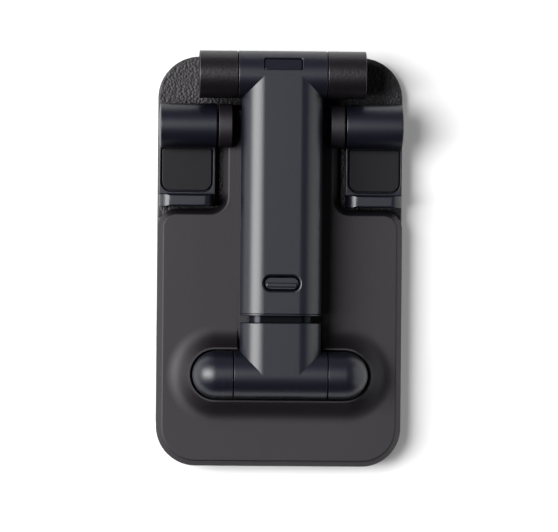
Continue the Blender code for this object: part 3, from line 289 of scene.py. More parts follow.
def rod(name, centre, radius, start, end, edge=0.0, side=1, steps=ROUND_STEPS):
    """A closed cylinder along X between two distances from centre, its rims rounded over."""
    profile = [(0.0, end)]
    if edge:
        for step in range(FILLET_STEPS + 1):
            angle = math.pi / 2 * step / FILLET_STEPS
            profile.append((radius - edge * (1 - math.sin(angle)), end - edge * (1 - math.cos(angle))))
        for step in range(FILLET_STEPS, -1, -1):
            angle = math.pi / 2 * step / FILLET_STEPS
            profile.append((radius - edge * (1 - math.sin(angle)), start + edge * (1 - math.cos(angle))))
    else:
        profile += [(radius, end), (radius, start)]
    profile.append((0.0, start))
    return turned(name, centre, profile, side=side, steps=steps)


def inner_rim(radius, inner, edge):
    """The last points of a turned profile: an inner end whose rim is rounded over."""
    return [(radius, inner + edge), (radius - 0.3 * edge, inner + 0.3 * edge), (radius - edge, inner),
            (0.0, inner)]


def set_in_barrel(name, centre, angle, length, height, levels, corner=0.6 * MM):
    """A block lying in a barrel at an angle from the top; levels are (distance from the axis, inset)."""
    shape = layered(name, rectangle(-length / 2, length / 2, -height / 2, height / 2, corner), levels,
                    steps=6)
    shape.data.transform(Matrix.Translation(centre) @ Euler((-angle, 0, 0)).to_matrix().to_4x4())
    return shape


def combine(shape, tool, operation):
    """One Boolean, applied at once; the tool is used up."""
    modifier = shape.modifiers.new(operation, "BOOLEAN")
    modifier.operation = operation
    modifier.object = tool
    bpy.context.view_layer.update()
    result = bpy.data.meshes.new_from_object(shape.evaluated_get(bpy.context.evaluated_depsgraph_get()))
    shape.modifiers.clear()
    old, shape.data = shape.data, result
    bpy.data.meshes.remove(old)
    bpy.data.objects.remove(tool)


def cut(shape, tool):
    combine(shape, tool, "DIFFERENCE")


def join(shape, tool):
    combine(shape, tool, "UNION")


def finish_piece(shape, body, material, slot, *nodes, crease=28):
    """Smooth shading up to a crease angle, then the piece's material and body; its CAD nodes are hidden. The slot
    argument is not used.
    """
    mesh = shape.data
    mesh.shade_smooth()
    mesh.set_sharp_from_angle(angle=math.radians(crease))
    weights = shape.modifiers.new("flat faces lead", "WEIGHTED_NORMAL")
    weights.keep_sharp = True
    mesh.materials.clear()
    mesh.materials.append(material)
    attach(shape, body)
    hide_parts(*nodes)
    return shape


# ---------------------------------------------------------------- materials

def linear(hex_colour):
    """An sRGB hex colour as linear RGBA."""
    channels = [int(hex_colour[place:place + 2], 16) / 255 for place in (1, 3, 5)]
    return [c / 12.92 if c <= 0.04045 else ((c + 0.055) / 1.055) ** 2.4 for c in channels] + [1.0]


def new_material(name, **shader_values):
    """A material with its Principled shader; underscores stand for the spaces in the socket names."""
    material = bpy.data.materials.new(name)
    material.use_nodes = True
    shader = material.node_tree.nodes["Principled BSDF"]
    for socket, value in shader_values.items():
        shader.inputs[socket.replace("_", " ")].default_value = value
    return material


def add_node(owner, kind, values=None, links=None, **settings):
    """Adds one node to a material or the world, with its settings, its sockets' values and links."""
    node = owner.node_tree.nodes.new(kind)
    for name, value in settings.items():
        setattr(node, name, value)
    for socket, value in (values or {}).items():
        node.inputs[socket].default_value = value
    for socket, source in (links or {}).items():
        owner.node_tree.links.new(source, node.inputs[socket])
    return node


def link_shader(material, **sources):
    shader = material.node_tree.nodes["Principled BSDF"]
    for socket, source in sources.items():
        material.node_tree.links.new(source, shader.inputs[socket.replace("_", " ")])


def mottle(material, coordinates, size, dark, light):
    """A slow drift between two close colours, as in mass-coloured plastic handled for a while."""
    noise = add_node(material, "ShaderNodeTexNoise", {"Scale": 1 / size, "Detail": 3.0},
                     {"Vector": coordinates})
    mix = add_node(material, "ShaderNodeMix", {6: linear(dark), 7: linear(light)},
                   {0: noise.outputs["Fac"]}, data_type="RGBA")
    return mix.outputs[2]


def fine_tooth(material, place, size, detail, strength, depth):
    """The fine relief that a mould, sanding or plating leaves on a surface; gives its normal."""
    noise = add_node(material, "ShaderNodeTexNoise", {"Scale": 1 / size, "Detail": detail}, {"Vector": place})
    bump = add_node(material, "ShaderNodeBump", {"Strength": strength, "Distance": depth},
                    {"Height": noise.outputs["Fac"]})
    return bump.outputs["Normal"]


def grained_abs():
    """ABS from a leather-grained tool: dark pebbles of 0.8 mm, nearly smooth and glossier on the ears."""
    material = new_material("grained_abs", IOR=1.5, Specular_IOR_Level=0.46)
    place = add_node(material, "ShaderNodeTexCoord").outputs["Object"]
    pebbles = add_node(material, "ShaderNodeTexVoronoi", {"Scale": 1 / (0.8 * MM)}, {"Vector": place})
    fine = add_node(material, "ShaderNodeTexNoise", {"Scale": 1 / (0.4 * MM), "Detail": 3.0},
                    {"Vector": place})
    relief = add_node(material, "ShaderNodeMath", {1: 0.25},
                      {0: fine.outputs["Fac"], 2: pebbles.outputs["Distance"]}, operation="MULTIPLY_ADD")
    height = add_node(material, "ShaderNodeSeparateXYZ", links={"Vector": place})
    sheen = add_node(material, "ShaderNodeMapRange", {"From Min": BASE_TOP, "From Max": BASE_TOP + MM,
                                                      "To Min": 0.52, "To Max": 0.4},
                     {"Value": height.outputs["Z"]})
    depth = add_node(material, "ShaderNodeMapRange", {"From Min": BASE_TOP, "From Max": BASE_TOP + MM,
                                                      "To Min": 0.14 * MM, "To Max": 0.03 * MM},
                     {"Value": height.outputs["Z"]})
    bump = add_node(material, "ShaderNodeBump", {"Strength": 1.0},
                    {"Height": relief.outputs[0], "Distance": depth.outputs["Result"]}, invert=True)
    link_shader(material, Base_Color=mottle(material, place, 14 * MM, "#120F13", "#161317"),
                Roughness=sheen.outputs["Result"], Normal=bump.outputs["Normal"])
    return material


def eroded_abs():
    """ABS from a spark-eroded tool: an even, fine matt skin in a near-neutral black.

    The tooth is drawn coarser than real spark erosion, so that it shows at this size.
    """
    material = new_material("eroded_abs", Roughness=0.6, IOR=1.5, Specular_IOR_Level=0.42)
    place = add_node(material, "ShaderNodeTexCoord").outputs["Object"]
    link_shader(material, Base_Color=mottle(material, place, 20 * MM, "#120F13", "#161317"),
                Normal=fine_tooth(material, place, 0.35 * MM, 2.0, 0.7, 0.05 * MM))
    return material


def satin_abs():
    """Satin ABS of the arm and the hooks: smoother than the plate's, in a slightly bluish black.

    Its tooth too is drawn coarser than the real one.
    """
    material = new_material("satin_abs", Roughness=0.4, IOR=1.5)
    place = add_node(material, "ShaderNodeTexCoord").outputs["Object"]
    link_shader(material, Base_Color=mottle(material, place, 24 * MM, "#101119", "#13141C"),
                Normal=fine_tooth(material, place, 0.5 * MM, 3.0, 0.5, 0.04 * MM))
    return material


def silicone():
    """Moulded silicone rubber: matt, a little dusty, with a soft sheen; its tooth is drawn coarser."""
    material = new_material("silicone", Roughness=0.55, IOR=1.43, Specular_IOR_Level=0.3)
    place = add_node(material, "ShaderNodeTexCoord").outputs["Object"]
    link_shader(material, Base_Color=mottle(material, place, 9 * MM, "#0F0E11", "#141316"),
                Normal=fine_tooth(material, place, 0.5 * MM, 4.0, 0.25, 0.04 * MM))
    return material


def nylon():
    """Moulded nylon, a slightly waxy black."""
    material = new_material("nylon", Roughness=0.38, IOR=1.53)
    place = add_node(material, "ShaderNodeTexCoord").outputs["Object"]
    link_shader(material, Base_Color=mottle(material, place, 4 * MM, "#0F1018", "#13141C"))
    return material


def anodised_aluminium():
    """Extruded aluminium, anodised black: fine drawing lines along its length."""
    material = new_material("anodised_aluminium", Roughness=0.35, Metallic=0.85)
    place = add_node(material, "ShaderNodeTexCoord").outputs["Object"]
    stretched = add_node(material, "ShaderNodeMapping", {"Scale": (1.0, 0.02, 1.0)}, {"Vector": place})
    lines = fine_tooth(material, stretched.outputs["Vector"], 0.15 * MM, 2.0, 0.2, 0.02 * MM)
    link_shader(material, Base_Color=mottle(material, place, 12 * MM, "#18191D", "#1E1F23"), Normal=lines)
    return material


def zinc_plated_steel():
    """Bright zinc plate on turned or pressed steel, slightly clouded."""
    material = new_material("zinc_plated_steel", Roughness=0.32, Metallic=1.0)
    place = add_node(material, "ShaderNodeTexCoord").outputs["Object"]
    link_shader(material, Base_Color=mottle(material, place, 3 * MM, "#B4B5B8", "#C6C7CA"),
                Normal=fine_tooth(material, place, 1.2 * MM, 4.0, 0.15, 0.02 * MM))
    return material


def opal_acrylic():
    """Sanded opal acrylic of a light table, lit faintly from below so that shadows on it stay pale."""
    material = new_material("opal_acrylic", Roughness=0.9, Base_Color=linear("#D0D0D0"),
                            Emission_Color=linear("#FFFFFF"), Emission_Strength=0.08)
    place = add_node(material, "ShaderNodeTexCoord").outputs["Object"]
    link_shader(material, Normal=fine_tooth(material, place, 2 * MM, 3.0, 0.05, 0.05 * MM))
    return material


GRAINED_ABS = grained_abs()
ERODED_ABS = eroded_abs()
SATIN_ABS = satin_abs()
SILICONE = silicone()
NYLON = nylon()
ANODISED = anodised_aluminium()
ZINC = zinc_plated_steel()
SLOT_MATERIALS = {
    "base_abs": GRAINED_ABS, "plate_abs": ERODED_ABS, "arm_abs": SATIN_ABS, "silicone": SILICONE,
    "nylon": NYLON, "tube_aluminium": ANODISED, "steel": ZINC,
}


def paint_cad_nodes():
    """The inner pieces keep their CAD shapes and take the finish of their slot."""
    for subpart in frame["record"]["subparts"]:
        node = frame["nodes"].get(subpart["node"])
        if node:
            node.data.materials.clear()
            node.data.materials.append(SLOT_MATERIALS[subpart["material_slot"]])


# ---------------------------------------------------------------- base

def base_outline():
    return rectangle(BASE_LOW.x, -BASE_LOW.x, BASE_LOW.y, BASE_REAR, BASE_CORNER)


def base_shell():
    """The foot's grained cover with the two ears of the base hinge."""
    bottom = BASE_LOW.z
    levels = rounded(bottom, BASE_TOP, BASE_LOWER_EDGE, BASE_EDGE)
    shell = layered("base_shell", base_outline(), levels, steps=24)
    cut(shell, layered("hollow", base_outline(), [(bottom - MM, BASE_WALL),
                                                  (BASE_TOP - BASE_SKIN, BASE_WALL)], steps=12))
    ear_inner = ARM_BARREL_END + EAR_GAP
    front = BASE_HINGE.y - EAR_FOOT_DEPTH / 2 - EAR_FOOT_SETBACK
    rear = front + EAR_FOOT_DEPTH
    foot_low = BASE_TOP - BASE_SKIN / 2
    foot_high = BASE_HINGE.z - EAR_FOOT_SETBACK
    cap_inner = EAR_END - EAR_CAP_INSET
    bush_seat = EAR_END - EAR_BUSH_SEAT
    bore = [(0.0, EAR_END + MM), (EAR_POCKET_RADIUS, EAR_END + MM), (EAR_POCKET_RADIUS, cap_inner - FIT),
            (EAR_BUSH_RADIUS, cap_inner - FIT), (EAR_BUSH_RADIUS, bush_seat), (EAR_PIN_RADIUS, bush_seat),
            (EAR_PIN_RADIUS, ear_inner - MM), (0.0, ear_inner - MM)]
    for side, word in ((-1, "left"), (1, "right")):
        corners = rectangle(front, rear, foot_low, foot_high, FIT)
        x0, x1 = sorted((side * (ear_inner + 0.05 * MM), side * (EAR_END - EAR_FOOT_SETBACK)))
        join(shell, layered("foot", corners, rounded(x0, x1, FIT, FIT, 3), axis="X", steps=4))
        join(shell, rod("ear", BASE_HINGE, BARREL_RADIUS, ear_inner, EAR_END, EAR_EDGE, side))
        cut(shell, turned("bore", BASE_HINGE, bore, side=side, steps=60))
        cap = rod(f"base_hinge_cover_{word}", BASE_HINGE, EAR_CAP_RADIUS, cap_inner,
                  cap_inner + EAR_CAP_THICKNESS, 0.3 * MM, side)
        finish_piece(cap, "base", GRAINED_ABS, "base_abs", f"base_hinge_cap_{word}")
    web_reach = ear_inner + MM
    web_top = BASE_HINGE.z - BARREL_RADIUS - 2 * FIT
    join(shell, block("web", (-web_reach, front + FIT, foot_low), (web_reach, rear - FIT, web_top)))
    finish_piece(shell, "base", GRAINED_ABS, "base_abs", "base_top_shell")


def base_underside():
    pad = layered("grip_pad", base_outline(), [
        (0.0, 1.9 * MM), (0.12 * MM, 1.6 * MM), (0.3 * MM, 1.42 * MM), (GRIP_PAD_TOP, 1.4 * MM),
    ], steps=24)
    finish_piece(pad, "base", SILICONE, "silicone", "base_grip_pad")


# ---------------------------------------------------------------- arm

def arm_sleeve():
    """The outer tube and, in one piece with it, the middle of the base hinge's barrel."""
    sleeve = bar("sleeve", ARM_WIDTH, 2 * BARREL_RADIUS - 2 * SUNK, ARM_CORNER, SLEEVE_FRONT,
                 BASE_HINGE.y - FIT, 0.15 * MM)
    join(sleeve, rod("barrel", BASE_HINGE, BARREL_RADIUS, -ARM_BARREL_END, ARM_BARREL_END,
                     SLEEVE_BARREL_EDGE))
    cut(sleeve, bar("bore", BORE_WIDTH, BORE_HEIGHT, BORE_CORNER, MOUTH - MM, BASE_HINGE.y - BORE_STOP))
    cut(sleeve, bar("mouth", BORE_WIDTH + MOUTH_STEP, BORE_HEIGHT + MOUTH_STEP, BORE_CORNER + FIT,
                    MOUTH - MM, GUIDE_END + FIT))
    cut(sleeve, rod("bush_bore", BASE_HINGE, SLEEVE_BUSH_RADIUS, -ARM_WIDTH, ARM_WIDTH, steps=48))
    cut(sleeve, set_in_barrel("plug_seat", BASE_HINGE, PLUG_ANGLE, PLUG_LENGTH, PLUG_HEIGHT, [
        (PLUG_FLOOR, 0.0), (6.75 * MM, 0.0), (7.0 * MM, -0.25 * MM), (9 * MM, -0.25 * MM)]))
    window = rectangle(-WINDOW_LENGTH / 2, WINDOW_LENGTH / 2, WINDOW_Y - WINDOW_WIDTH / 2,
                       WINDOW_Y + WINDOW_WIDTH / 2, WINDOW_WIDTH / 2 - 0.01 * MM)
    cut(sleeve, layered("window", window, [
        (BASE_HINGE.z, 0.0), (ARM_TOP - 0.9 * MM, 0.0), (ARM_TOP - 0.45 * MM, -0.1 * MM),
        (ARM_TOP - 0.15 * MM, -0.35 * MM), (ARM_TOP + 0.01 * MM, -0.8 * MM)]))
    finish_piece(sleeve, "lower_arm", SATIN_ABS, "arm_abs", "arm_sleeve", crease=MITRE_CREASE)

    plug = set_in_barrel("barrel_inlay", BASE_HINGE, PLUG_ANGLE, PLUG_LENGTH - FIT, PLUG_HEIGHT - FIT,
                         [(PLUG_FLOOR + FIT, 0.0), (PLUG_FLOOR + 0.95 * MM, 0.0),
                          (PLUG_FLOOR + 1.15 * MM, 0.2 * MM)])
    finish_piece(plug, "lower_arm", SATIN_ABS, "arm_abs", "barrel_plug")

    ring_step = MOUTH_STEP - 2 * FIT
    guide = bar("mouth_ring", BORE_WIDTH + ring_step, BORE_HEIGHT + ring_step, BORE_CORNER,
                MOUTH + 0.2 * MM, GUIDE_END)
    join(guide, bar("flange", ARM_WIDTH, 2 * BARREL_RADIUS, ARM_CORNER, MOUTH, MOUTH + GUIDE_FLANGE,
                    0.2 * MM, 0.08 * MM))
    cut(guide, bar("tube_way", TUBE_WIDTH + 2 * FIT, TUBE_HEIGHT + 2 * FIT, TUBE_CORNER + FIT,
                   MOUTH - MM, GUIDE_END + MM))
    finish_piece(guide, "lower_arm", SATIN_ABS, "arm_abs", "sleeve_mouth_guide")

    catch_low = low("stop_catch").z + CATCH_DROP
    catch = layered("slide_catch", window, [(catch_low, FIT), (catch_low + 0.65 * MM, FIT),
                                            (catch_low + 0.8 * MM, FIT + 0.15 * MM)])
    rib = rectangle(-RIB_LENGTH / 2, RIB_LENGTH / 2, WINDOW_Y - RIB_FRONT, WINDOW_Y + RIB_REAR, 0.5 * MM)
    join(catch, layered("rib", rib, rounded(catch_low + 0.3 * MM, catch_low + 1.2 * MM, 0.0, 0.3 * MM),
                        steps=6))
    join(catch, block("tooth", (-TOOTH_WIDTH / 2, WINDOW_Y - TOOTH_LENGTH / 2, catch_low - CATCH_DROP),
                      (TOOTH_WIDTH / 2, WINDOW_Y + TOOTH_LENGTH / 2, catch_low + 0.3 * MM), 0.2 * MM))
    finish_piece(catch, "lower_arm", NYLON, "nylon", "stop_catch")


def arm_head():
    """The T-shaped head on the inner tube, and the middle of the second hinge's barrel."""
    head = bar("head", ARM_WIDTH, 2 * BARREL_RADIUS - 2 * SUNK, ARM_CORNER, PLATE_HINGE.y + FIT, HEAD_REAR,
               0.0, 0.4 * MM)
    join(head, rod("barrel", PLATE_HINGE, HEAD_RADIUS, -HEAD_END, HEAD_END, HINGE_SEAM_EDGE))
    tube_front = low("inner_tube").y
    cut(head, bar("socket", TUBE_WIDTH + 2 * FIT, TUBE_HEIGHT + 2 * FIT, TUBE_CORNER + FIT,
                  tube_front - FIT, HEAD_REAR + MM))
    cut(head, rod("bush_bore", PLATE_HINGE, HEAD_BUSH_RADIUS, -2 * HEAD_END, 2 * HEAD_END, steps=48))
    cut(head, set_in_barrel("plug_seat", PLATE_HINGE, HEAD_PLUG_ANGLE, HEAD_PLUG_LENGTH, PLUG_HEIGHT, [
        (HEAD_PLUG_FLOOR, 0.0), (6.7 * MM, 0.0), (6.9 * MM, -0.12 * MM), (9 * MM, -0.12 * MM)]))
    arm_bottom = BASE_HINGE.z - BARREL_RADIUS
    for name in ("head_screw_1", "head_screw_2"):
        middle = (low(name) + high(name)) / 2
        profile = [(0.0, 5 * MM), (SCREW_RADIUS, 5 * MM), (SCREW_RADIUS, MM), (SCREW_HEAD_RADIUS, MM),
                   (SCREW_HEAD_RADIUS, -MM), (0.0, -MM)]
        cut(head, turned("screw_hole", (middle.x, middle.y, arm_bottom), profile, upright=True, steps=24))
    finish_piece(head, "upper_arm", SATIN_ABS, "arm_abs", "arm_head", crease=MITRE_CREASE)

    plug = set_in_barrel("head_inlay", PLATE_HINGE, HEAD_PLUG_ANGLE, HEAD_PLUG_LENGTH - 2 * FIT,
                         PLUG_HEIGHT - 2 * FIT, [(HEAD_PLUG_FLOOR + FIT, 0.0), (HEAD_RADIUS - 0.3 * MM, 0.0),
                                                 (HEAD_RADIUS - 0.15 * MM, 0.15 * MM)])
    finish_piece(plug, "upper_arm", SATIN_ABS, "arm_abs", "head_plug")

    tube_rear = high("inner_tube").y
    tube = bar("tube", TUBE_WIDTH, TUBE_HEIGHT, TUBE_CORNER, tube_front, tube_rear)
    cut(tube, bar("tube_bore", TUBE_WIDTH - 2 * TUBE_WALL, TUBE_HEIGHT - 2 * TUBE_WALL, TUBE_BORE_CORNER,
                  tube_front - MM, tube_rear + MM))
    slot = rectangle(-TUBE_SLOT_WIDTH / 2, TUBE_SLOT_WIDTH / 2, WINDOW_Y - TUBE_SLOT_FRONT,
                     WINDOW_Y + TUBE_SLOT_REAR, TUBE_SLOT_WIDTH / 4)
    cut(tube, layered("tube_slot", slot, [(BASE_HINGE.z, 0.0), (ARM_TOP, 0.0)], steps=6))
    for name in ("head_screw_1", "head_screw_2"):
        middle = (low(name) + high(name)) / 2
        profile = [(0.0, 5 * MM), (SCREW_RADIUS, 5 * MM), (SCREW_RADIUS, MM), (0.0, MM)]
        cut(tube, turned("screw_hole", (middle.x, middle.y, arm_bottom), profile, upright=True, steps=24))
    finish_piece(tube, "upper_arm", ANODISED, "tube_aluminium", "inner_tube")


# ---------------------------------------------------------------- phone plate

def plate_outline():
    half, tongue = PLATE_HIGH.x, TONGUE_WIDTH / 2
    return [
        (-half, PLATE_LOW.y, PLATE_CORNER), (half, PLATE_LOW.y, PLATE_CORNER),
        (half, NOTCH_Y, NOTCH_OUTER_CORNER), (tongue, NOTCH_Y, NOTCH_INNER_CORNER),
        (tongue, PLATE_REAR, TONGUE_CORNER), (-tongue, PLATE_REAR, TONGUE_CORNER),
        (-tongue, NOTCH_Y, NOTCH_INNER_CORNER), (-half, NOTCH_Y, NOTCH_OUTER_CORNER),
    ]


def capsule_outline():
    """The plan of the second hinge with its domed ends."""
    y = HEAD_RADIUS - 0.001 * MM
    return rectangle(-CAP_END, CAP_END, PLATE_HINGE.y - HEAD_RADIUS, PLATE_HINGE.y + HEAD_RADIUS, y)


def collar_levels():
    """The flared collar: it leaves the plate without an edge and steepens up to a narrow rounded rim."""
    rim = COLLAR_CLEARANCE + COLLAR_RIM
    steps = 24
    levels = [(PLATE_TOP - 0.4 * MM, -rim - COLLAR_REACH)]
    for step in range(steps + 1):
        share = step / steps
        levels.append((PLATE_TOP - 0.004 * MM + (COLLAR_HEIGHT - 0.1 * MM) * share ** 3,
                       -rim - COLLAR_REACH * (1 - share)))
    return levels + [(PLATE_TOP + COLLAR_HEIGHT, -rim + 0.1 * MM)]


def plate_shell():
    """The plate's back: chamfered and filleted edge, flared collar, lugs and hook knuckles."""
    shell = layered("plate_shell", plate_outline(), [
        (PLATE_BOTTOM, 0.3 * MM), (PLATE_BOTTOM + 0.1 * MM, 0.1 * MM), (PLATE_BOTTOM + 0.3 * MM, 0.0),
        (PLATE_TOP - CHAMFER_DROP - 0.25 * MM, 0.0), (PLATE_TOP - CHAMFER_DROP + 0.1 * MM, 0.1 * MM),
        (PLATE_TOP - 0.42 * MM, CHAMFER_WIDTH - 0.02 * MM),
        (PLATE_TOP - 0.2 * MM, CHAMFER_WIDTH + 0.16 * MM),
        (PLATE_TOP - 0.05 * MM, CHAMFER_WIDTH + 0.36 * MM), (PLATE_TOP, CHAMFER_WIDTH + 0.6 * MM),
    ])
    cut(shell, layered("hollow", plate_outline(), [(PLATE_BOTTOM - MM, PLATE_WALL),
                                                   (PLATE_TOP - PLATE_SKIN, PLATE_WALL)], steps=6))
    join(shell, layered("collar", capsule_outline(), collar_levels(), steps=40))
    pocket_floor = PLATE_TOP - 0.05 * MM
    rim_top = PLATE_TOP + COLLAR_HEIGHT
    cut(shell, layered("pocket", capsule_outline(), [
        (pocket_floor, -COLLAR_CLEARANCE), (rim_top - 0.1 * MM, -COLLAR_CLEARANCE),
        (rim_top + 0.01 * MM, -COLLAR_CLEARANCE - 0.1 * MM),
        (rim_top + 3 * MM, -COLLAR_CLEARANCE - 0.1 * MM),
    ], steps=40))
    slot = ARM_WIDTH / 2 + 0.6 * MM
    cut(shell, block("arm_slot", (-slot, PLATE_HINGE.y, pocket_floor),
                     (slot, PLATE_HINGE.y + 25 * MM, ARM_TOP)))
    lug_start = CAP_INNER + 0.1 * MM
    for side in (-1, 1):
        lug = block("lug", (side * (lug_start + 0.05 * MM), PLATE_HINGE.y - LUG_NECK / 2,
                            PLATE_TOP - 0.9 * MM),
                    (side * (lug_start + LUG_LENGTH - 0.05 * MM), PLATE_HINGE.y + LUG_NECK / 2,
                     PLATE_HINGE.z - MM))
        join(lug, rod("lug_eye", PLATE_HINGE, LUG_RADIUS, lug_start, lug_start + LUG_LENGTH, 0.2 * MM, side,
                      steps=60))
        cut(lug, rod("lug_bore", PLATE_HINGE, HINGE_PIN_WAY, lug_start - MM, lug_start + LUG_LENGTH + MM,
                     side=side, steps=32))
        join(shell, lug)
    for side in (-1, 1):
        knuckle = Vector((0, HOOK_HINGE.y, HOOK_HINGE.z))
        knuckle_inner = KNUCKLE_OUTER - KNUCKLE_LENGTH - 0.1 * MM
        roll = rod("knuckle", knuckle, HOOK_RADIUS - 2 * SUNK, knuckle_inner, KNUCKLE_OUTER, KNUCKLE_EDGE,
                   side, steps=90)
        cut(roll, rod("knuckle_bore", knuckle, HINGE_PIN_WAY, knuckle_inner - MM, KNUCKLE_OUTER + MM,
                      side=side, steps=32))
        cut(shell, rod("pin_way", knuckle, HINGE_PIN_WAY + 0.1 * MM, knuckle_inner - MM,
                       KNUCKLE_OUTER + MM, side=side, steps=36))
        join(shell, roll)
    finish_piece(shell, "phone_plate", ERODED_ABS, "plate_abs", "plate_back_shell")


def plate_front():
    half = PLATE_HIGH.x
    pad_outline = [
        (-half, PLATE_LOW.y, PLATE_CORNER), (half, PLATE_LOW.y, PLATE_CORNER),
        (half, NOTCH_Y, NOTCH_OUTER_CORNER), (-half, NOTCH_Y, NOTCH_OUTER_CORNER),
    ]
    start, end = low("plate_front_pad").z, high("plate_front_pad").z
    pad = layered("front_pad", pad_outline, [
        (start, FRONT_PAD_MARGIN + 0.4 * MM), (start + 0.1 * MM, FRONT_PAD_MARGIN + 0.15 * MM),
        (start + 0.3 * MM, FRONT_PAD_MARGIN), (end, FRONT_PAD_MARGIN)], steps=20)
    finish_piece(pad, "phone_plate", SILICONE, "silicone", "plate_front_pad")


def hinge_caps():
    """The domed ends of the second hinge, hollow over the plate's lugs."""
    dome = CAP_END - HEAD_RADIUS
    steps = 24
    profile = [(HEAD_RADIUS * math.sin(math.pi / 2 * step / steps),
                dome + HEAD_RADIUS * math.cos(math.pi / 2 * step / steps)) for step in range(steps + 1)]
    profile += inner_rim(HEAD_RADIUS, CAP_INNER, HINGE_SEAM_EDGE)
    lug_end = CAP_INNER + 0.1 * MM + LUG_LENGTH
    for side, word in ((-1, "left"), (1, "right")):
        cap = turned(f"dome_{word}", PLATE_HINGE, profile, side=side)
        cut(cap, rod("hollow", PLATE_HINGE, LUG_RADIUS + FIT, CAP_INNER - MM, lug_end + 2.6 * MM,
                     side=side, steps=48))
        cut(cap, block("neck_way", (side * (CAP_INNER - MM), PLATE_HINGE.y - LUG_NECK / 2 - FIT,
                                    PLATE_HINGE.z - 9 * MM),
                       (side * (lug_end + FIT), PLATE_HINGE.y + LUG_NECK / 2 + FIT,
                        PLATE_HINGE.z - 0.4 * MM)))
        finish_piece(cap, "phone_plate", SATIN_ABS, "arm_abs", f"plate_hinge_cap_{word}")


# ---------------------------------------------------------------- hooks

def hook(side, word):
    """One hook: crowned barrel, floor with an inlaid pad, and a lip with rounded upper corners."""
    inner = HOOK_LOW.x
    outer = HOOK_HIGH.x
    x0, x1 = sorted((side * (inner + 0.15 * MM), side * (outer - HOOK_SHOULDER)))
    lip_y = HOOK_LOW.y
    bottom, lip_top = HOOK_LOW.z, HOOK_LOW.z + LIP_HEIGHT
    section = [
        (lip_y, bottom, 0.6 * MM), (HOOK_HINGE.y, bottom, 0.05 * MM), (HOOK_HINGE.y, HOOK_FLOOR, 0.05 * MM),
        (lip_y + LIP_THICKNESS, HOOK_FLOOR, 0.5 * MM), (lip_y + LIP_THICKNESS, lip_top, 0.6 * MM),
        (lip_y, lip_top, 0.6 * MM),
    ]
    shape = layered(f"hook_body_{word}", section, rounded(x0, x1, 0.25 * MM, 0.25 * MM, 3), axis="X", steps=8)
    view = [(x0, bottom - 0.01 * MM, 0.4 * MM), (x1, bottom - 0.01 * MM, 0.4 * MM),
            (x1, lip_top + 0.01 * MM, LIP_CORNER), (x0, lip_top + 0.01 * MM, LIP_CORNER)]
    combine(shape, layered("front_view", view, [(lip_y - MM, 0.0), (HOOK_HINGE.y + MM, 0.0)], axis="Y"),
            "INTERSECT")

    pad_node = f"hook_pad_{word}"
    pad_low, pad_high = low(pad_node), high(pad_node)
    pad_outline = [(pad_low.x, pad_low.y, PAD_CORNER), (pad_high.x, pad_low.y, PAD_CORNER),
                   (pad_high.x, pad_high.y, 0.6 * MM), (pad_low.x, pad_high.y, 0.6 * MM)]
    cut(shape, layered("pad_seat", pad_outline, [
        (pad_low.z - FIT, -FIT), (HOOK_FLOOR - 0.2 * MM, -FIT), (HOOK_FLOOR + 0.01 * MM, -FIT - 0.26 * MM),
        (HOOK_FLOOR + MM, -FIT - 0.26 * MM)]))

    crown_steps = 10
    profile = [(HOOK_RADIUS * 0.97 * step / crown_steps, outer - HOOK_CROWN * (step / crown_steps) ** 2)
               for step in range(crown_steps + 1)]
    profile += [(HOOK_RADIUS - 0.05 * MM, outer - HOOK_CROWN - 0.15 * MM),
                (HOOK_RADIUS, outer - HOOK_CROWN - 0.4 * MM)]
    profile += inner_rim(HOOK_RADIUS, inner, HOOK_INNER_EDGE)
    axis = Vector((0, HOOK_HINGE.y, HOOK_HINGE.z))
    join(shape, turned("barrel", axis, profile, side=side))
    pin_end = high("hook_pin_right").x + FIT
    spring_end = high("hook_spring_right").x + FIT
    bore = [(0.0, pin_end), (HINGE_PIN_WAY, pin_end), (HINGE_PIN_WAY, spring_end),
            (HOOK_SPRING_WAY, spring_end), (HOOK_SPRING_WAY, inner - MM), (0.0, inner - MM)]
    cut(shape, turned("bore", axis, bore, side=side, steps=32))
    finish_piece(shape, f"hook_{word}", SATIN_ABS, "arm_abs", f"hook_{word}")

    pad_levels = rounded(pad_low.z + 0.1 * MM, pad_high.z, 0.0, 0.25 * MM)[FILLET_STEPS + 1:]
    pad = layered(f"pad_{word}", pad_outline, [(pad_low.z, 0.0)] + pad_levels)
    finish_piece(pad, f"hook_{word}", SILICONE, "silicone", pad_node)


# ---------------------------------------------------------------- floor, light and camera

LIGHT_DISTANCE = 2.5
ROOM_DIM, ROOM_BRIGHT = 0.14, 0.5

CAMERA_DISTANCE = 1.8
CAMERA_TILT = math.radians(2.3)
CAMERA_ROLL = math.radians(0.5)
VIEW_WIDTH = 170.8 * MM
TONES = ((0.008, 0.003), (0.03, 0.019), (0.06, 0.056), (0.1, 0.1))
VIEW_TARGET = (-0.3 * MM, -2.1 * MM, PLATE_TOP)


def softbox(name, tilt, width, length, brightness, lean=0.0):
    """A panel facing the stand; tilt and lean from overhead towards +X and -Y, width and length as angles."""
    lamp = bpy.data.lights.new(name, "AREA")
    lamp.shape = "RECTANGLE"
    lamp.size = 2 * LIGHT_DISTANCE * math.tan(math.radians(width) / 2)
    lamp.size_y = 2 * LIGHT_DISTANCE * math.tan(math.radians(length) / 2)
    lamp.energy = brightness * math.pi * lamp.size * lamp.size_y
    panel = bpy.data.objects.new(name, lamp)
    turn = Euler((math.radians(lean), math.radians(tilt), 0)).to_matrix()
    panel.location = turn @ Vector((0, 0, LIGHT_DISTANCE))
    panel.rotation_euler = turn.to_euler()
    bpy.context.scene.collection.objects.link(panel)


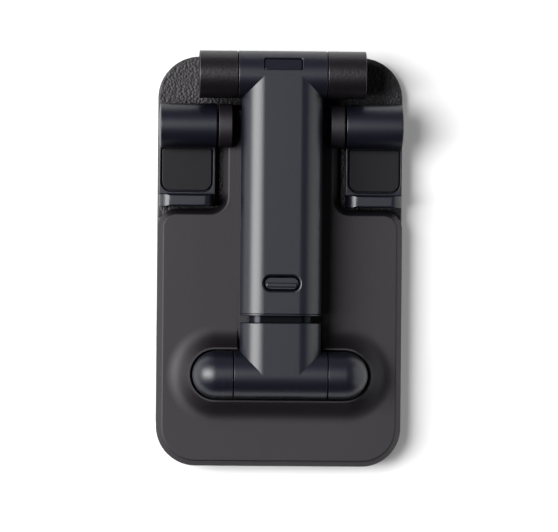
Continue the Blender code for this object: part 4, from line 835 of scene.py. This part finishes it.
def grade():
    """Print contrast: the deepest shadows close up, everything from mid grey upwards is left alone."""
    view = bpy.context.scene.view_settings
    view.view_transform = "Standard"
    view.use_curve_mapping = True
    curve = view.curve_mapping.curves[3]
    for light, printed in TONES:
        curve.points.new(light, printed)
    view.curve_mapping.update()


def studio():
    """A white table, a key softbox on the left and a white card on the right, in a pale room."""
    bpy.ops.mesh.primitive_plane_add(size=8.0, location=(0, 0, 0))
    table = bpy.context.object
    table.name = "light_table"
    table.data.materials.append(opal_acrylic())

    softbox("key_softbox", -41.5, 49, 33, 16.0, -5)
    softbox("white_card", 67, 46, 80, 1.35)

    world = bpy.data.worlds.new("pale_room")
    bpy.context.scene.world = world
    world.use_nodes = True
    direction = add_node(world, "ShaderNodeTexCoord").outputs["Generated"]
    height = add_node(world, "ShaderNodeSeparateXYZ", links={"Vector": direction})
    glow = add_node(world, "ShaderNodeMapRange", {"From Min": 0.1, "From Max": 0.5, "To Min": ROOM_BRIGHT,
                                                  "To Max": ROOM_DIM}, {"Value": height.outputs["Z"]})
    front_shade = add_node(world, "ShaderNodeMapRange", {"From Min": -0.7, "From Max": 0.3, "To Min": 0.05,
                                                         "To Max": 1.0}, {"Value": height.outputs["Y"]})
    strength = add_node(world, "ShaderNodeMath", None, {0: glow.outputs["Result"],
                                                        1: front_shade.outputs["Result"]},
                        operation="MULTIPLY")
    background = world.node_tree.nodes["Background"]
    background.inputs["Color"].default_value = linear("#FFFFFF")
    world.node_tree.links.new(strength.outputs[0], background.inputs["Strength"])

    camera_data = bpy.data.cameras.new("camera")
    camera_data.sensor_width = 36.0
    camera_data.lens = camera_data.sensor_width * CAMERA_DISTANCE / VIEW_WIDTH
    camera_data.clip_start = 0.01
    camera = bpy.data.objects.new("camera", camera_data)
    turn = Euler((0, -CAMERA_TILT, CAMERA_ROLL)).to_matrix()
    camera.location = Vector(VIEW_TARGET) + turn @ Vector((0, 0, CAMERA_DISTANCE))
    camera.rotation_euler = turn.to_euler()
    bpy.context.scene.collection.objects.link(camera)
    bpy.context.scene.camera = camera
    grade()


def main():
    paint_cad_nodes()
    base_shell()
    base_underside()
    arm_sleeve()
    arm_head()
    plate_shell()
    plate_front()
    hinge_caps()
    hook(-1, "left")
    hook(1, "right")
    studio()


main()
